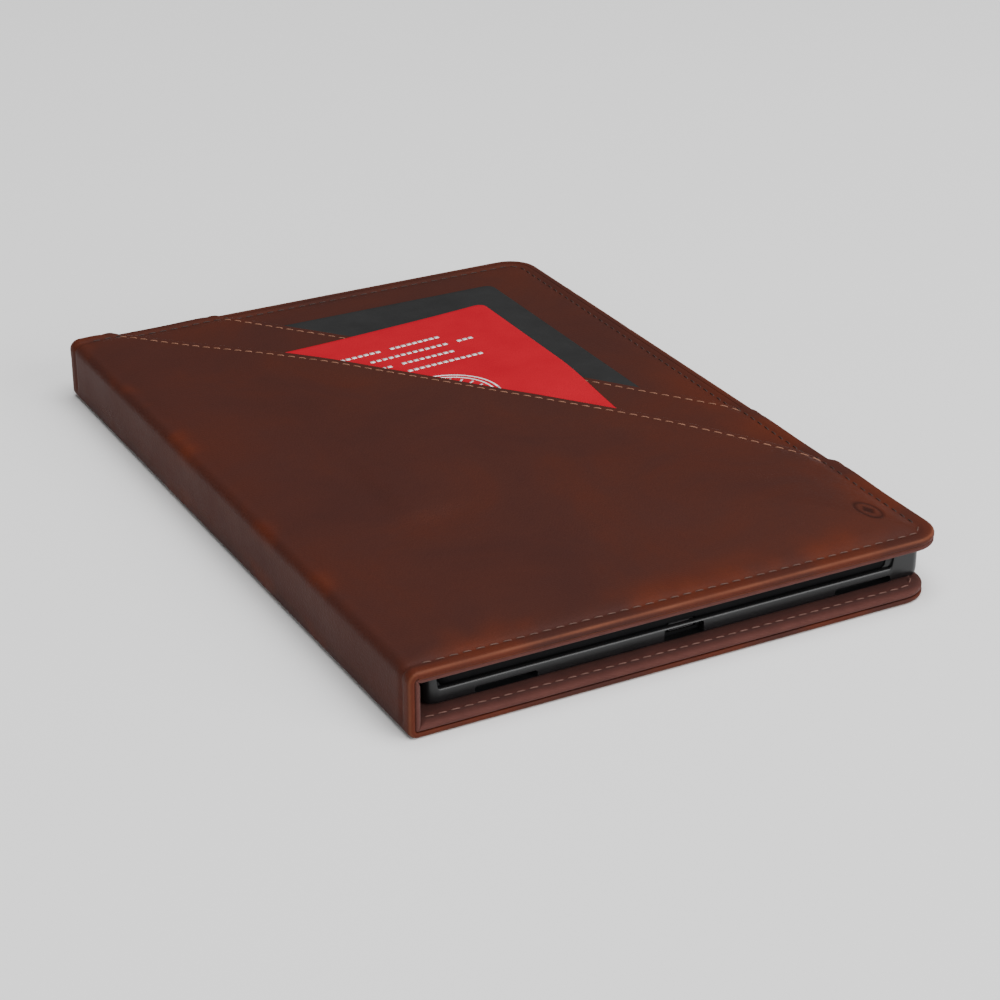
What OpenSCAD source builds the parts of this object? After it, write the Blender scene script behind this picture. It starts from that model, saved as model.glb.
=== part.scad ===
// Electronic-paper reader in a book-style leather folio.
// The closed folio lies flat on its back cover, with the spine on the -X side.
// All sizes are in millimetres. The origin is the bottom centre of the closed folio.

/* [Folio] */
// Width of the closed folio, from the spine to the fore edge
folio_w = 169; // [168:0.5:172]
// Length of the folio along its spine
folio_l = 249.5; // [249:0.5:254]
// Height of the front cover's stitched edge above the table
folio_h = 19.5; // [19.5:0.1:20.5]
// Height of the filled front pocket above the table
pocket_h = 24.2; // [24:0.1:26]
// Radius of the covers' corners at the fore edge
cover_r = 10; // [7:0.5:12]
// How far the back cover stops short of the front cover at the fore edge
back_inset = 3; // [1:0.5:3.5]
// Thickness of the back cover
back_t = 4; // [4:0.1:4.2]
// Thickness of the spine
spine_t = 3.3; // [3:0.1:3.3]
// Thickness of one layer of leather
leather_t = 0.65; // [0.5:0.05:0.65]
// Distance of the edge stitching from the edge of a cover
stitch_inset = 4.7; // [4:0.1:5]

/* [Pockets] */
// Where the rear pocket's edge meets the far edge, measured from the spine
rear_pocket_x = 51; // [48:1:54]
// Where the rear pocket's edge meets the fore edge, measured from the near edge
rear_pocket_y = 98; // [94:1:100]
// Where the front pocket's edge meets the far edge, measured from the spine
front_pocket_x = 14; // [12:1:18]
// Where the front pocket's edge meets the fore edge, measured from the near edge
front_pocket_y = 54; // [50:1:58]

/* [Pocket contents] */
// Width of the card and of the booklet
paper_w = 88; // [80:1:88]
// Length of the card and of the booklet
paper_l = 125; // [110:1:125]
// Thickness of the card
card_t = 0.55; // [0.3:0.05:0.6]
// Thickness of the booklet
booklet_t = 2.5; // [1.5:0.1:2.7]
// How far the booklet is turned in its pocket, in degrees
booklet_turn = -0.5; // [-2:0.1:0]

/* [Reader] */
// Width of the reader
reader_w = 153.4; // [150:0.2:153.4]
// Length of the reader
reader_l = 232.4; // [230:0.2:232.4]
// Thickness of the reader
reader_t = 8.8; // [8.8:0.1:9]
// Radius of the reader's corners
reader_r = 7.2; // [5:0.2:8]
// Width of the picture on the screen
screen_w = 139.4; // [136:0.2:139.4]
// Length of the picture on the screen
screen_l = 202.8; // [198:0.2:202.8]
// Width of the bezel at the page keys
chin = 19; // [19:0.5:20]

/* [Holder shell] */
// Wall of the clip-in shell
shell_wall = 1.5; // [1.2:0.1:1.6]
// Height of the shell's low walls above the table
shell_low_h = 9; // [8.6:0.1:9.4]
// Height of the shell's corners above the table
shell_corner_h = 15.3; // [15:0.1:15.4]

/* [Hidden] */
$fn = 48;
eps = 0.05;
cut = 1;

// Heights and sides of the covers
hinge_gap = 0.6;
cover_x0 = spine_t + hinge_gap;
back_x1 = folio_w - back_inset;
spine_z0 = 2.6;
spine_z1 = folio_h - 2.6;
leather_rim = 1.3;
back_split_z = 1.9;
front_z0 = folio_h - 3.7;
front_split_z = folio_h - 2;
base_top_z = front_split_z + eps + leather_t - 0.1;
rear_top_z = base_top_z + eps + leather_t;
front_top_z = rear_top_z + eps + leather_t;
foam_t = 0.5;
magnet_r = 4;
magnet_t = 0.55;
thread_w = 0.5;
thread_h = 0.25;
hem_w = 2.75;
far = 400;

// Heights of the pocket contents, and the hollows that hold them
card_z = base_top_z + thread_h + 0.1;
rear_roof_z = card_z + card_t + 0.1;
rear_raised_z = rear_roof_z + leather_t;
booklet_z = rear_raised_z + thread_h + 0.1;
front_roof_z = pocket_h - leather_t - 0.05;
card_x = 57.5;
card_y = 104;
booklet_x = 42.8;
booklet_y = 81.6;
pocket_wall = 1.5;
pocket_play = 1.2;
paper_r = 3;

// The reader lies in its shell, centred between the hinge gap and the fore edge
reader_x = 86.5;
reader_y = folio_l / 2;
shell_z = back_t + 0.3;
shell_floor = 1.1;
reader_z = shell_z + shell_floor + 0.1;
reader_top = reader_z + reader_t;
shell_play = 0.3;
shell_w = reader_w + 2 * (shell_wall + shell_play);
shell_l = reader_l + 2 * (shell_wall + shell_play);
shell_r = 3;

// Layers of the reader, as heights above the table
house_floor = 0.9;
house_wall = 1.4;
floor_z = reader_z + house_floor;
split_z = reader_top - 1.75;
bezel_t = 0.7;
lens_z = reader_top - bezel_t - 0.65;
touch_z = lens_z - 0.35;
guide_z = touch_z - 0.55;
panel_z = guide_z - 0.95;
frame_z = panel_z - 1.35;
frame_t = 1.25;
board_z = frame_z - 1.2;
board_t = 1;
port_board_z = frame_z - 0.65;
inner_w = reader_w - 2 * house_wall;
inner_l = reader_l - 2 * house_wall;
screen_y = chin - reader_l / 2;
glass_margin = 1.8;

// Fasteners, keys and sockets
boss_x = inner_w / 2 - 2.1;
boss_ys = [-95, -30, 35, 100];
boss_r = 1.6;
screw_r = 0.6;
screw_head_r = 1.25;
screw_head_t = 0.7;
key_w = 22;
key_l = 5;
key_x = 18;
key_y = screen_y - 9.5;
key_play = 0.2;
key_proud = 0.15;
button_x = 50;
button_w = 12;
button_h = 2.4;
button_z = frame_z + 0.9;
port_w = 8.9;
port_h = 2.56;
speaker_w = 22;
speaker_l = 9;
speaker_xs = [-56, 58.8];
speaker_hole_r = 0.5;
slot_h = 1.9;

// ---- Shared shapes ----

// Moves its children from the corner at the spine and near edge to the part's origin
module at_corner() {
    translate([-folio_w / 2, -folio_l / 2, 0]) children();
}

// Moves its children to the middle of the reader
module at_reader() {
    at_corner() translate([reader_x, reader_y, 0]) children();
}

// Plan of a cover, square at the spine and rounded at the fore edge
module cover_plan(x0, x1, inset) {
    r = cover_r - inset;
    length = folio_l - 2 * inset;
    translate([x0, inset]) square([x1 - x0 - r, length]);
    translate([x0, inset + r]) square([x1 - x0, length - 2 * r]);
    for (y = [inset + r, folio_l - inset - r])
        translate([x1 - r, y]) circle(r);
}

// Plan of a rectangle with round corners, centred on the origin
module round_plan(w, l, r) {
    square([w - 2 * r, l], center = true);
    square([w, l - 2 * r], center = true);
    for (x = [-1, 1], y = [-1, 1])
        translate([x * (w / 2 - r), y * (l / 2 - r)]) circle(r);
}

// Everything on the near side of the line through (x, folio_l) and (folio_w, y), moved by off
module below_diagonal(x, y, off = 0) {
    angle = atan2(y - folio_l, folio_w - x);
    translate([x, folio_l]) rotate(angle) translate([-far / 2, off - far]) square([2 * far, far]);
}

// A flat layer with a plan, from z0 to z1
module layer(z0, z1) {
    translate([0, 0, z0]) linear_extrude(z1 - z0) children();
}

// Block with its low corner at a and its high corner at b
module block(a, b) {
    translate(a) cube(b - a);
}

// Strip along the near, far and fore edges of a cover, where its edge is stitched
module edge_seam_plan(x1, inset) {
    difference() {
        cover_plan(cover_x0 + 2, x1 - inset, inset);
        translate([-cut, 0]) cover_plan(cover_x0, x1 - inset - thread_w + cut, inset + thread_w);
    }
}

// ---- Back cover ----

module back_leather() {
    color("saddlebrown") at_corner() difference() {
        layer(0, back_split_z - eps) cover_plan(cover_x0, back_x1, 0);
        layer(leather_t + 0.15, back_t)
            cover_plan(cover_x0 + leather_rim, back_x1 - leather_rim, leather_rim);
    }
}

module back_board() {
    inset = leather_rim + eps;
    color("darkgray") at_corner() layer(leather_t + 0.2, back_t - leather_t - 0.2)
        cover_plan(cover_x0 + inset, back_x1 - inset, inset);
}

module back_lining() {
    color("rosybrown") at_corner() difference() {
        layer(back_split_z, back_t) cover_plan(cover_x0, back_x1, 0);
        layer(0, back_t - leather_t - 0.15)
            cover_plan(cover_x0 + leather_rim, back_x1 - leather_rim, leather_rim);
    }
}

module back_edge_thread() {
    color("peru") at_corner() layer(back_t, back_t + thread_h) edge_seam_plan(back_x1, stitch_inset - 1.2);
}

// ---- Spine ----

module spine_leather() {
    mid = spine_t / 2;
    color("saddlebrown") at_corner() difference() {
        block([0, 0, spine_z0], [mid, folio_l, spine_z1]);
        block([leather_t, leather_rim, spine_z0 + leather_rim],
            [mid + cut, folio_l - leather_rim, spine_z1 - leather_rim]);
    }
}

module spine_board() {
    inset = leather_rim + eps;
    color("darkgray") at_corner() block([leather_t + eps, inset, spine_z0 + inset],
        [spine_t - leather_t - eps, folio_l - inset, spine_z1 - inset]);
}

module spine_lining() {
    mid = spine_t / 2 + eps;
    color("rosybrown") at_corner() difference() {
        block([mid, 0, spine_z0], [spine_t, folio_l, spine_z1]);
        block([mid - cut, leather_rim, spine_z0 + leather_rim],
            [spine_t - leather_t, folio_l - leather_rim, spine_z1 - leather_rim]);
    }
}

// ---- Front cover ----

module front_lining() {
    color("rosybrown") at_corner() difference() {
        layer(front_z0, front_split_z) cover_plan(cover_x0, folio_w, 0);
        layer(front_z0 + 0.5, folio_h)
            cover_plan(cover_x0 + leather_rim, folio_w - leather_rim, leather_rim);
    }
}

module magnet_places() {
    for (y = [folio_l / 2 - 85, folio_l / 2 + 85])
        translate([folio_w - 10, y, 0]) children();
}

module front_board() {
    inset = leather_rim + eps;
    z0 = front_z0 + 0.5 + eps;
    z1 = front_split_z - foam_t - eps;
    color("darkgray") at_corner() difference() {
        layer(z0, z1) cover_plan(cover_x0 + inset, folio_w - inset, inset);
        magnet_places() translate([0, 0, z0 - cut]) cylinder(h = 3, r = magnet_r + 0.1);
    }
}

module cover_magnets() {
    color("silver") at_corner() magnet_places()
        translate([0, 0, front_z0 + 0.5 + eps]) cylinder(h = magnet_t, r = magnet_r);
}

module front_foam() {
    inset = leather_rim + 4;
    color("dimgray") at_corner() layer(front_split_z - foam_t, front_split_z)
        cover_plan(cover_x0 + inset, folio_w - inset, inset);
}

module front_leather() {
    color("saddlebrown") at_corner() layer(front_split_z + eps, base_top_z)
        cover_plan(cover_x0, folio_w, 0);
}

// Plan of a raised pocket from x0 to x1, open at its diagonal edge
module raised_plan(x0, x1, y0) {
    translate([x0, y0]) square([x1 - x0, folio_l - y0]);
}

// A pocket panel stitched down round its edge, with a hollow from z0 up to its roof
module pocket_panel(x, y, z0, z1, roof_z, raised_z, x0, x1, y0) {
    difference() {
        union() {
            layer(z0, z1) intersection() {
                cover_plan(cover_x0, folio_w, 0);
                below_diagonal(x, y);
            }
            layer(z0, raised_z) intersection() {
                raised_plan(x0 - pocket_wall, x1 + pocket_wall, y0 - pocket_wall);
                below_diagonal(x, y);
            }
        }
        layer(z0 - cut, roof_z) raised_plan(x0, x1, y0);
    }
}

rear_x0 = card_x - pocket_play;
rear_x1 = card_x + paper_w + pocket_play;
rear_y0 = card_y - pocket_play;
front_x0 = booklet_x - pocket_wall - pocket_play;
front_x1 = rear_x1 + pocket_wall + pocket_play;
front_y0 = booklet_y - 3 * pocket_play;

module rear_pocket_panel() {
    color("brown") at_corner() pocket_panel(rear_pocket_x, rear_pocket_y, base_top_z + eps,
        rear_top_z, rear_roof_z, rear_raised_z, rear_x0, rear_x1, rear_y0);
}

module front_pocket_panel() {
    color("sienna") at_corner() pocket_panel(front_pocket_x, front_pocket_y, rear_top_z + eps,
        front_top_z, front_roof_z, pocket_h, front_x0, front_x1, front_y0);
}

// The edge stitching lies on whichever layer is uppermost, so it has three levels
module cover_edge_thread() {
    color("peru") at_corner() {
        layer(front_top_z, front_top_z + thread_h) intersection() {
            edge_seam_plan(folio_w, stitch_inset);
            below_diagonal(front_pocket_x, front_pocket_y);
        }
        layer(rear_top_z, rear_top_z + thread_h) intersection() {
            edge_seam_plan(folio_w, stitch_inset);
            difference() {
                below_diagonal(rear_pocket_x, rear_pocket_y, -0.5);
                below_diagonal(front_pocket_x, front_pocket_y, 0.3);
            }
        }
        layer(base_top_z, base_top_z + thread_h) difference() {
            edge_seam_plan(folio_w, stitch_inset);
            below_diagonal(rear_pocket_x, rear_pocket_y, 0.3);
        }
    }
}

// Row of thread along a pocket's diagonal edge, low on the flat band and high on the pocket
module diagonal_thread(x, y, flat_z, raised_z, x0, x1) {
    side = 6;
    layer(flat_z, flat_z + thread_h) intersection() {
        diagonal_strip(x, y);
        union() {
            translate([side, 0]) square([x0 - pocket_wall - 0.3 - side, folio_l - side]);
            translate([x1 + pocket_wall + 0.3, side])
                square([folio_w - side - x1 - pocket_wall - 0.3, folio_l]);
        }
    }
    layer(raised_z, raised_z + thread_h) intersection() {
        diagonal_strip(x, y);
        translate([x0, 0]) square([x1 - x0, folio_l - side]);
    }
}

module diagonal_strip(x, y) {
    difference() {
        below_diagonal(x, y, -hem_w);
        below_diagonal(x, y, -hem_w - thread_w);
    }
}

module pocket_thread() {
    color("peru") at_corner() {
        diagonal_thread(rear_pocket_x, rear_pocket_y, rear_top_z, rear_raised_z, rear_x0, rear_x1);
        diagonal_thread(front_pocket_x, front_pocket_y, front_top_z, pocket_h, front_x0, front_x1);
    }
}

// ---- Pocket contents ----

module paper_plan(inset = 0) {
    translate([paper_w / 2, paper_l / 2])
        round_plan(paper_w - 2 * inset, paper_l - 2 * inset, paper_r - inset);
}

module document_card() {
    color("black") at_corner() translate([card_x, card_y, 0])
        layer(card_z, card_z + card_t) paper_plan();
}

module at_booklet() {
    at_corner() translate([booklet_x, booklet_y, booklet_z]) rotate(booklet_turn) children();
}

// Two boards joined down the booklet's folded edge
module booklet_cover() {
    board = 0.4;
    fold = 1;
    color("firebrick") at_booklet() difference() {
        layer(0, booklet_t) paper_plan();
        block([fold, -cut, board], [paper_w + cut, paper_l + cut, booklet_t - board]);
    }
}

module booklet_pages() {
    board = 0.4;
    edge = 1.1;
    color("ivory") at_booklet()
        block([edge, edge / 2, board + eps], [paper_w - edge, paper_l - edge / 2, booklet_t - board - eps]);
}

// ---- Holder shell ----

module shell_adhesive() {
    color("gray") at_reader() layer(back_t + thread_h / 5, shell_z - eps)
        round_plan(shell_w - 24, shell_l - 24, 3);
}

module round_slot(x0, x1, z0, h) {
    for (x = [x0 + h / 2, x1 - h / 2])
        translate([x, 0, z0 + h / 2]) rotate([90, 0, 0]) cylinder(h = 6, r = h / 2, center = true);
    block([x0 + h / 2, -3, z0], [x1 - h / 2, 3, z0 + h]);
}

// Tall corners that hold the reader down, longer on the fore edge
module shell_corners() {
    end_l = 26;
    spine_end_w = 3.5;
    fore_end_w = 9.5;
    lip = 1.3;
    intersection() {
        difference() {
            layer(shell_z, shell_corner_h) round_plan(shell_w, shell_l, shell_r);
            layer(shell_z - cut, shell_corner_h - 0.7)
                round_plan(reader_w + 2 * shell_play, reader_l + 2 * shell_play, reader_r + shell_play);
            layer(shell_z - cut, shell_corner_h + cut)
                round_plan(reader_w - 2 * lip, reader_l - 2 * lip, reader_r + lip);
        }
        for (y = [-shell_l / 2 - cut, shell_l / 2 - end_l]) {
            y1 = y + end_l + cut;
            block([-shell_w / 2 - cut, y, shell_z], [spine_end_w - shell_w / 2, y1, shell_corner_h]);
            block([shell_w / 2 - fore_end_w, y, shell_z], [shell_w / 2 + cut, y1, shell_corner_h]);
        }
    }
}

module holder_shell() {
    window_w = 14.5;
    color("black") at_reader() {
        difference() {
            union() {
                difference() {
                    layer(shell_z, shell_low_h) round_plan(shell_w, shell_l, shell_r);
                    layer(shell_z + shell_floor, shell_low_h + cut)
                        round_plan(reader_w + 2 * shell_play, reader_l + 2 * shell_play,
                            reader_r + shell_play);
                }
                shell_corners();
            }
            translate([0, -shell_l / 2, 0]) {
                for (x = speaker_xs)
                    round_slot(x - speaker_w / 2, x + speaker_w / 2, shell_z + 0.5, slot_h);
                block([-window_w / 2, -3, shell_z + 0.6], [window_w / 2, 1.6, shell_low_h - 0.5]);
            }
        }
    }
}

// ---- Reader: housing and frame ----

module boss_places() {
    for (x = [-boss_x, boss_x], y = boss_ys)
        translate([x, y, 0]) children();
}

module rear_housing() {
    hole_z = floor_z + 1;
    color("darkslategray") at_reader() difference() {
        union() {
            difference() {
                layer(reader_z, split_z) round_plan(reader_w, reader_l, reader_r);
                layer(floor_z, split_z + cut) round_plan(inner_w, inner_l, reader_r - house_wall);
            }
            boss_places() translate([0, 0, floor_z]) cylinder(h = frame_z - floor_z, r = boss_r);
        }
        boss_places() translate([0, 0, hole_z]) cylinder(h = 6, r = screw_r + 0.05);
        // Socket mouth
        block([-port_w / 2 - 0.1, -reader_l / 2 - cut, port_board_z - port_h - 0.1],
            [port_w / 2 + 0.1, -inner_l / 2 + cut, port_board_z + 0.1]);
        // Speaker holes
        for (x = speaker_xs, i = [-4 : 4])
            translate([x + 2.2 * i, -reader_l / 2, floor_z + 1.3])
                rotate([90, 0, 0]) cylinder(h = 4, r = speaker_hole_r, center = true, $fn = 24);
        // Power button
        translate([button_x, reader_l / 2, button_z])
            cube([button_w + 2 * key_play, 8, button_h + 2 * key_play], center = true);
    }
}

module mid_frame() {
    edge = 0.2;
    color("gray") at_reader() difference() {
        layer(frame_z, frame_z + frame_t)
            round_plan(inner_w - 2 * edge, inner_l - 2 * edge, reader_r - house_wall - edge);
        boss_places() {
            translate([0, 0, frame_z - cut]) cylinder(h = 4, r = screw_r + 0.1);
            translate([0, 0, frame_z + frame_t - screw_head_t - eps])
                cylinder(h = 3, r = screw_head_r + 0.1);
        }
        // Notches for the power button and for the screen's ribbon
        block([button_x - 9, inner_l / 2 - 5, frame_z - cut], [button_x + 9, inner_l / 2 + cut, 20]);
        block([-36, inner_l / 2 - 8.5, frame_z - cut], [-4, inner_l / 2 + cut, 20]);
        // Openings that save weight under the page keys
        for (x = [-1, 1])
            translate([x * 50, key_y, frame_z]) cube([16, 5, 6], center = true);
    }
}

module frame_screws() {
    length = 2.4;
    color("silver") at_reader() boss_places() {
        translate([0, 0, frame_z + frame_t - screw_head_t - length])
            cylinder(h = length + 0.1, r = screw_r);
        translate([0, 0, frame_z + frame_t - screw_head_t]) difference() {
            cylinder(h = screw_head_t, r = screw_head_r);
            translate([0, 0, 0.3]) cylinder(h = 1, r = 0.5, $fn = 6);
        }
    }
}

module front_bezel() {
    color("black") at_reader() difference() {
        layer(split_z + eps, reader_top) round_plan(reader_w, reader_l, reader_r);
        layer(split_z - cut, reader_top - bezel_t)
            round_plan(inner_w, inner_l, reader_r - house_wall);
        block([-screen_w / 2, screen_y, split_z], [screen_w / 2, screen_y + screen_l, reader_top + cut]);
        for (x = [-key_x, key_x])
            translate([x, key_y, reader_top])
                cube([key_w + 2 * key_play, key_l + 2 * key_play, 4], center = true);
    }
}

// ---- Reader: screen ----

// One layer of the screen, wider than the picture by a margin
module screen_layer(z, t, margin) {
    block([-screen_w / 2 - margin, screen_y - margin, z],
        [screen_w / 2 + margin, screen_y + screen_l + margin, z + t]);
}

module cover_lens() {
    color("lightgray") at_reader() screen_layer(lens_z, 0.6, glass_margin);
}

module touch_panel() {
    color("lightblue") at_reader() screen_layer(touch_z, 0.3, glass_margin);
}

module light_guide() {
    color("azure") at_reader() screen_layer(guide_z, 0.5, glass_margin - 0.6);
}

module light_strip() {
    count = 12;
    y = screen_y - glass_margin;
    z = guide_z;
    color("gold") at_reader() {
        block([-screen_w / 2, y - 1.6, z - 0.3], [screen_w / 2, y - 0.2, z - eps]);
        for (i = [0 : count - 1])
            translate([(i - (count - 1) / 2) * screen_w / count, y - 0.9, z + 0.2])
                cube([2.6, 1, 0.5], center = true);
    }
}

module epaper_panel() {
    color("whitesmoke") at_reader() screen_layer(panel_z, 0.9, glass_margin + 0.2);
}

module display_flex() {
    y0 = screen_y + screen_l + glass_margin + 0.25;
    y1 = inner_l / 2 - 1.2;
    z0 = board_z + board_t + eps;
    z1 = panel_z + 0.3;
    color("orange") at_reader() {
        block([-34, y0, z1], [-6, y1, z1 + 0.15]);
        block([-34, y1 - 0.15, z0], [-6, y1, z1 + 0.1]);
        block([-34, inner_l / 2 - 12, z0], [-6, y1, z0 + 0.15]);
    }
}

// ---- Reader: electronics ----

board_x = 55;
board_y0 = 50;
board_y1 = 104;

module main_board() {
    color("seagreen") at_reader() difference() {
        block([-board_x, board_y0, board_z], [board_x, board_y1, board_z + board_t]);
        for (x = [-50, 50], y = [board_y0 + 5, board_y1 - 5])
            translate([x, y, board_z - cut]) cylinder(h = 4, r = 1);
    }
}

can_w = 30;
can_l = 24;
can_h = 1.6;
can_xs = [-30, 12];
can_y = 74;

module board_chips() {
    chip_h = 1;
    color("dimgray") at_reader() {
        for (x = can_xs, i = [-1, 1])
            translate([x + i * 6.5, can_y + i * 3, board_z - chip_h / 2 - eps])
                cube([9, 11, chip_h], center = true);
        for (x = [36, 46])
            translate([x, can_y + 12, board_z - 0.45])
                cube([5, 5, 0.8], center = true);
    }
}

module shield_cans() {
    wall = 0.2;
    color("silver") at_reader() for (x = can_xs)
        translate([x, can_y, board_z - can_h - eps]) difference() {
            block([-can_w / 2, -can_l / 2, 0], [can_w / 2, can_l / 2, can_h]);
            block([wall - can_w / 2, wall - can_l / 2, wall],
                [can_w / 2 - wall, can_l / 2 - wall, can_h + cut]);
        }
}

module hall_sensor() {
    color("black") at_reader()
        block([50, board_y1 - 16, board_z - 0.85], [53, board_y1 - 14.5, board_z - eps]);
}

module antenna() {
    color("goldenrod") at_reader() {
        block([-70, inner_l / 2 - 8, floor_z + eps], [-30, inner_l / 2 - 2, floor_z + 0.3]);
        block([-52, inner_l / 2 - 16, floor_z + eps], [-48, inner_l / 2 - 8.05, floor_z + 0.3]);
    }
}

module battery() {
    color("lightslategray") at_reader()
        translate([-3, -15, floor_z + 0.1]) layer(0, frame_z - floor_z - 0.6) round_plan(96, 112, 2);
}

module link_flex() {
    z = board_z + board_t + eps;
    color("orange") at_reader() block([48, -98, z], [54, board_y0 + 6, z + 0.12]);
}

module port_board() {
    y0 = -inner_l / 2 + 0.6;
    color("seagreen") at_reader() block([-32, y0, port_board_z + eps], [44, y0 + 14, port_board_z + 0.5]);
}

// Socket for a 24-contact reversible plug, with its tongue
module usb_port() {
    y0 = -reader_l / 2 + 0.2;
    length = 7.4;
    wall = 0.3;
    color("silver") at_reader() translate([0, 0, port_board_z - port_h / 2]) {
        difference() {
            translate([0, y0, 0]) rotate([-90, 0, 0]) linear_extrude(length)
                round_plan(port_w - 0.1, port_h - 0.1, 1.2);
            translate([0, y0 - cut, 0]) rotate([-90, 0, 0]) linear_extrude(length)
                round_plan(port_w - 2 * wall, port_h - 2 * wall, 0.9);
        }
        block([-3.3, y0 + 1, -0.35], [3.3, y0 + length - 0.5, 0.35]);
    }
}

module speaker(x) {
    y0 = -inner_l / 2 + 0.3;
    color("black") at_reader() translate([x, y0, floor_z + eps]) difference() {
        block([-speaker_w / 2, 0, 0], [speaker_w / 2, speaker_l, 2.6]);
        block([1 - speaker_w / 2, -cut, 0.6], [speaker_w / 2 - 1, 1.5, 2]);
    }
}

module left_speaker() {
    speaker(speaker_xs[0]);
}

module right_speaker() {
    speaker(speaker_xs[1]);
}

// ---- Reader: keys and button ----

key_flange_z = reader_top - bezel_t - 0.65;
key_travel = 0.35;
button_travel = 0.4;

// Flexible board under the page keys, with one domed switch for each key
module key_board() {
    z = frame_z + frame_t + eps;
    dome_h = key_flange_z - key_travel - 0.1 - z - 0.6;
    color("orange") at_reader() {
        block([-34, key_y - 4, z], [34, key_y + 4, z + 0.6]);
        for (x = [-key_x, key_x])
            translate([x, key_y, z + 0.6]) cylinder(h = dome_h, r = 2.2);
    }
}

module page_key(x) {
    color("darkslategray") at_reader() translate([x, key_y, 0]) {
        block([-key_w / 2, -key_l / 2, key_flange_z], [key_w / 2, key_l / 2, reader_top + key_proud]);
        block([-key_w / 2 - 1, -key_l / 2 - 0.8, key_flange_z],
            [key_w / 2 + 1, key_l / 2 + 0.8, key_flange_z + 0.5]);
    }
}

module page_back_key() {
    page_key(-key_x);
}

module page_forward_key() {
    page_key(key_x);
}

module power_button() {
    color("darkslategray") at_reader() translate([button_x, reader_l / 2, button_z]) {
        block([-button_w / 2, -house_wall - 0.3, -button_h / 2], [button_w / 2, 0.5, button_h / 2]);
        block([-button_w / 2 - 1, -house_wall - 0.9, -button_h / 2 - 0.3],
            [button_w / 2 + 1, -house_wall - 0.2, button_h / 2 + 0.3]);
    }
}

module button_board() {
    y = reader_l / 2 - house_wall - 0.9 - button_travel - 0.2;
    color("orange") at_reader() {
        block([button_x - 7, y - 1, button_z - 1.2], [button_x + 7, y - 0.4, button_z + 1.2]);
        translate([button_x, y, button_z]) rotate([90, 0, 0]) cylinder(h = 0.4, r = 1);
    }
}

back_leather();
back_board();
back_lining();
back_edge_thread();
spine_leather();
spine_board();
spine_lining();
front_leather();
front_foam();
front_board();
front_lining();
cover_magnets();
rear_pocket_panel();
front_pocket_panel();
cover_edge_thread();
pocket_thread();
document_card();
booklet_cover();
booklet_pages();
shell_adhesive();
holder_shell();
rear_housing();
mid_frame();
front_bezel();
frame_screws();
cover_lens();
touch_panel();
light_guide();
light_strip();
epaper_panel();
display_flex();
main_board();
board_chips();
shield_cans();
hall_sensor();
antenna();
battery();
link_flex();
port_board();
usb_port();
left_speaker();
right_speaker();
key_board();
button_board();
page_back_key();
page_forward_key();
power_button();
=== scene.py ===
import math

import bmesh
import bpy
from mathutils import Euler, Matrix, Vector, noise


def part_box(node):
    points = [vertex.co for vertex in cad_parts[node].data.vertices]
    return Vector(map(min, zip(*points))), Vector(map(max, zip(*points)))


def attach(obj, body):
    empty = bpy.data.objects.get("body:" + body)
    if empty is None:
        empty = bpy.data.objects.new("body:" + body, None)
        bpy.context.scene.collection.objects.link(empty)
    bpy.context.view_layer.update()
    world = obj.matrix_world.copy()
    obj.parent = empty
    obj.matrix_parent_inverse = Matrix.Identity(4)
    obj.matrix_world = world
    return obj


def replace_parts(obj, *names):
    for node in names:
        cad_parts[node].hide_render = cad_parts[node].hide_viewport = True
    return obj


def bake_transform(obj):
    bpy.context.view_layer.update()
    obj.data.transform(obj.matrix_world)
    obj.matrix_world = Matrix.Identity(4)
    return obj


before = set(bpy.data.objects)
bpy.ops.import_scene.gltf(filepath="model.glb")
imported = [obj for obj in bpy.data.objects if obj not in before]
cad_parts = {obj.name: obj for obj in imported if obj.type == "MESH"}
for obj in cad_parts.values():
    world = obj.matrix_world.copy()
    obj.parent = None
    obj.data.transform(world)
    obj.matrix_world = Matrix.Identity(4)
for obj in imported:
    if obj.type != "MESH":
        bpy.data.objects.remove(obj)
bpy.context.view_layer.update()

MM = 0.001


# ---- Sizes, in millimetres, measured from the spine's outer face and the near edge ----

SPINE_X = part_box("spine_leather")[0][0]
NEAR_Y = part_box("front_leather")[0][1]


def cad_box(node):
    """A CAD node's low and high corners, in millimetres from the spine and near edge."""
    return [[(x - SPINE_X) / MM, (y - NEAR_Y) / MM, z / MM] for x, y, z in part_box(node)]


WIDTH = cad_box("front_leather")[1][0]
LENGTH = cad_box("front_leather")[1][1]
HEIGHT = cad_box("front_lining")[1][2] + 2.0  # top of the front cover's stitched edge
BACK_WIDTH = cad_box("back_leather")[1][0]
BACK_T = cad_box("back_lining")[1][2]
FRONT_Z = cad_box("front_lining")[0][2]  # the front cover's underside
COVER_R = 10.0
TOP_FOLD_R = 3.2
BOTTOM_FOLD_R = 2.6
LAYER = 0.75  # one layer of leather and its glue
LEATHER_T = 0.6
HEM = 8.5  # width of the folded pocket edge
HEM_STITCH = 2.75
EDGE_STITCH = 4.7  # the front cover's stitches, in from its edge
LINING_STITCH = 3.5  # the back lining's stitches, in from its edge
STITCH_PITCH = 3.85
STITCH_LENGTH = 2.95
GROOVE = 0.42  # depth of the stitched valley
GROOVE_W = 1.0
TURN_DEPTH = 2.0  # how far the turned edge reaches down
MID_SPINE = HEIGHT / 2  # where the two outer sheets meet on the spine
BACK_LIP = 1.75  # thickness of the back cover's turned leather edge
PAD_X = 1.78  # where the linings' mitred corners start
MITRE_LAP = 0.3  # how far the covers' linings reach into the mitre
SPINE_PAD_T = 1.85
LINING_TOP = HEIGHT - 1.93
LINING_BASE = BACK_LIP - 0.07
GUSSET_T = 0.35
STAMP_X, STAMP_Y = 155.3, 19.9  # the pressed mark
STAMP_W, STAMP_L = 3.6, 5.8

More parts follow.
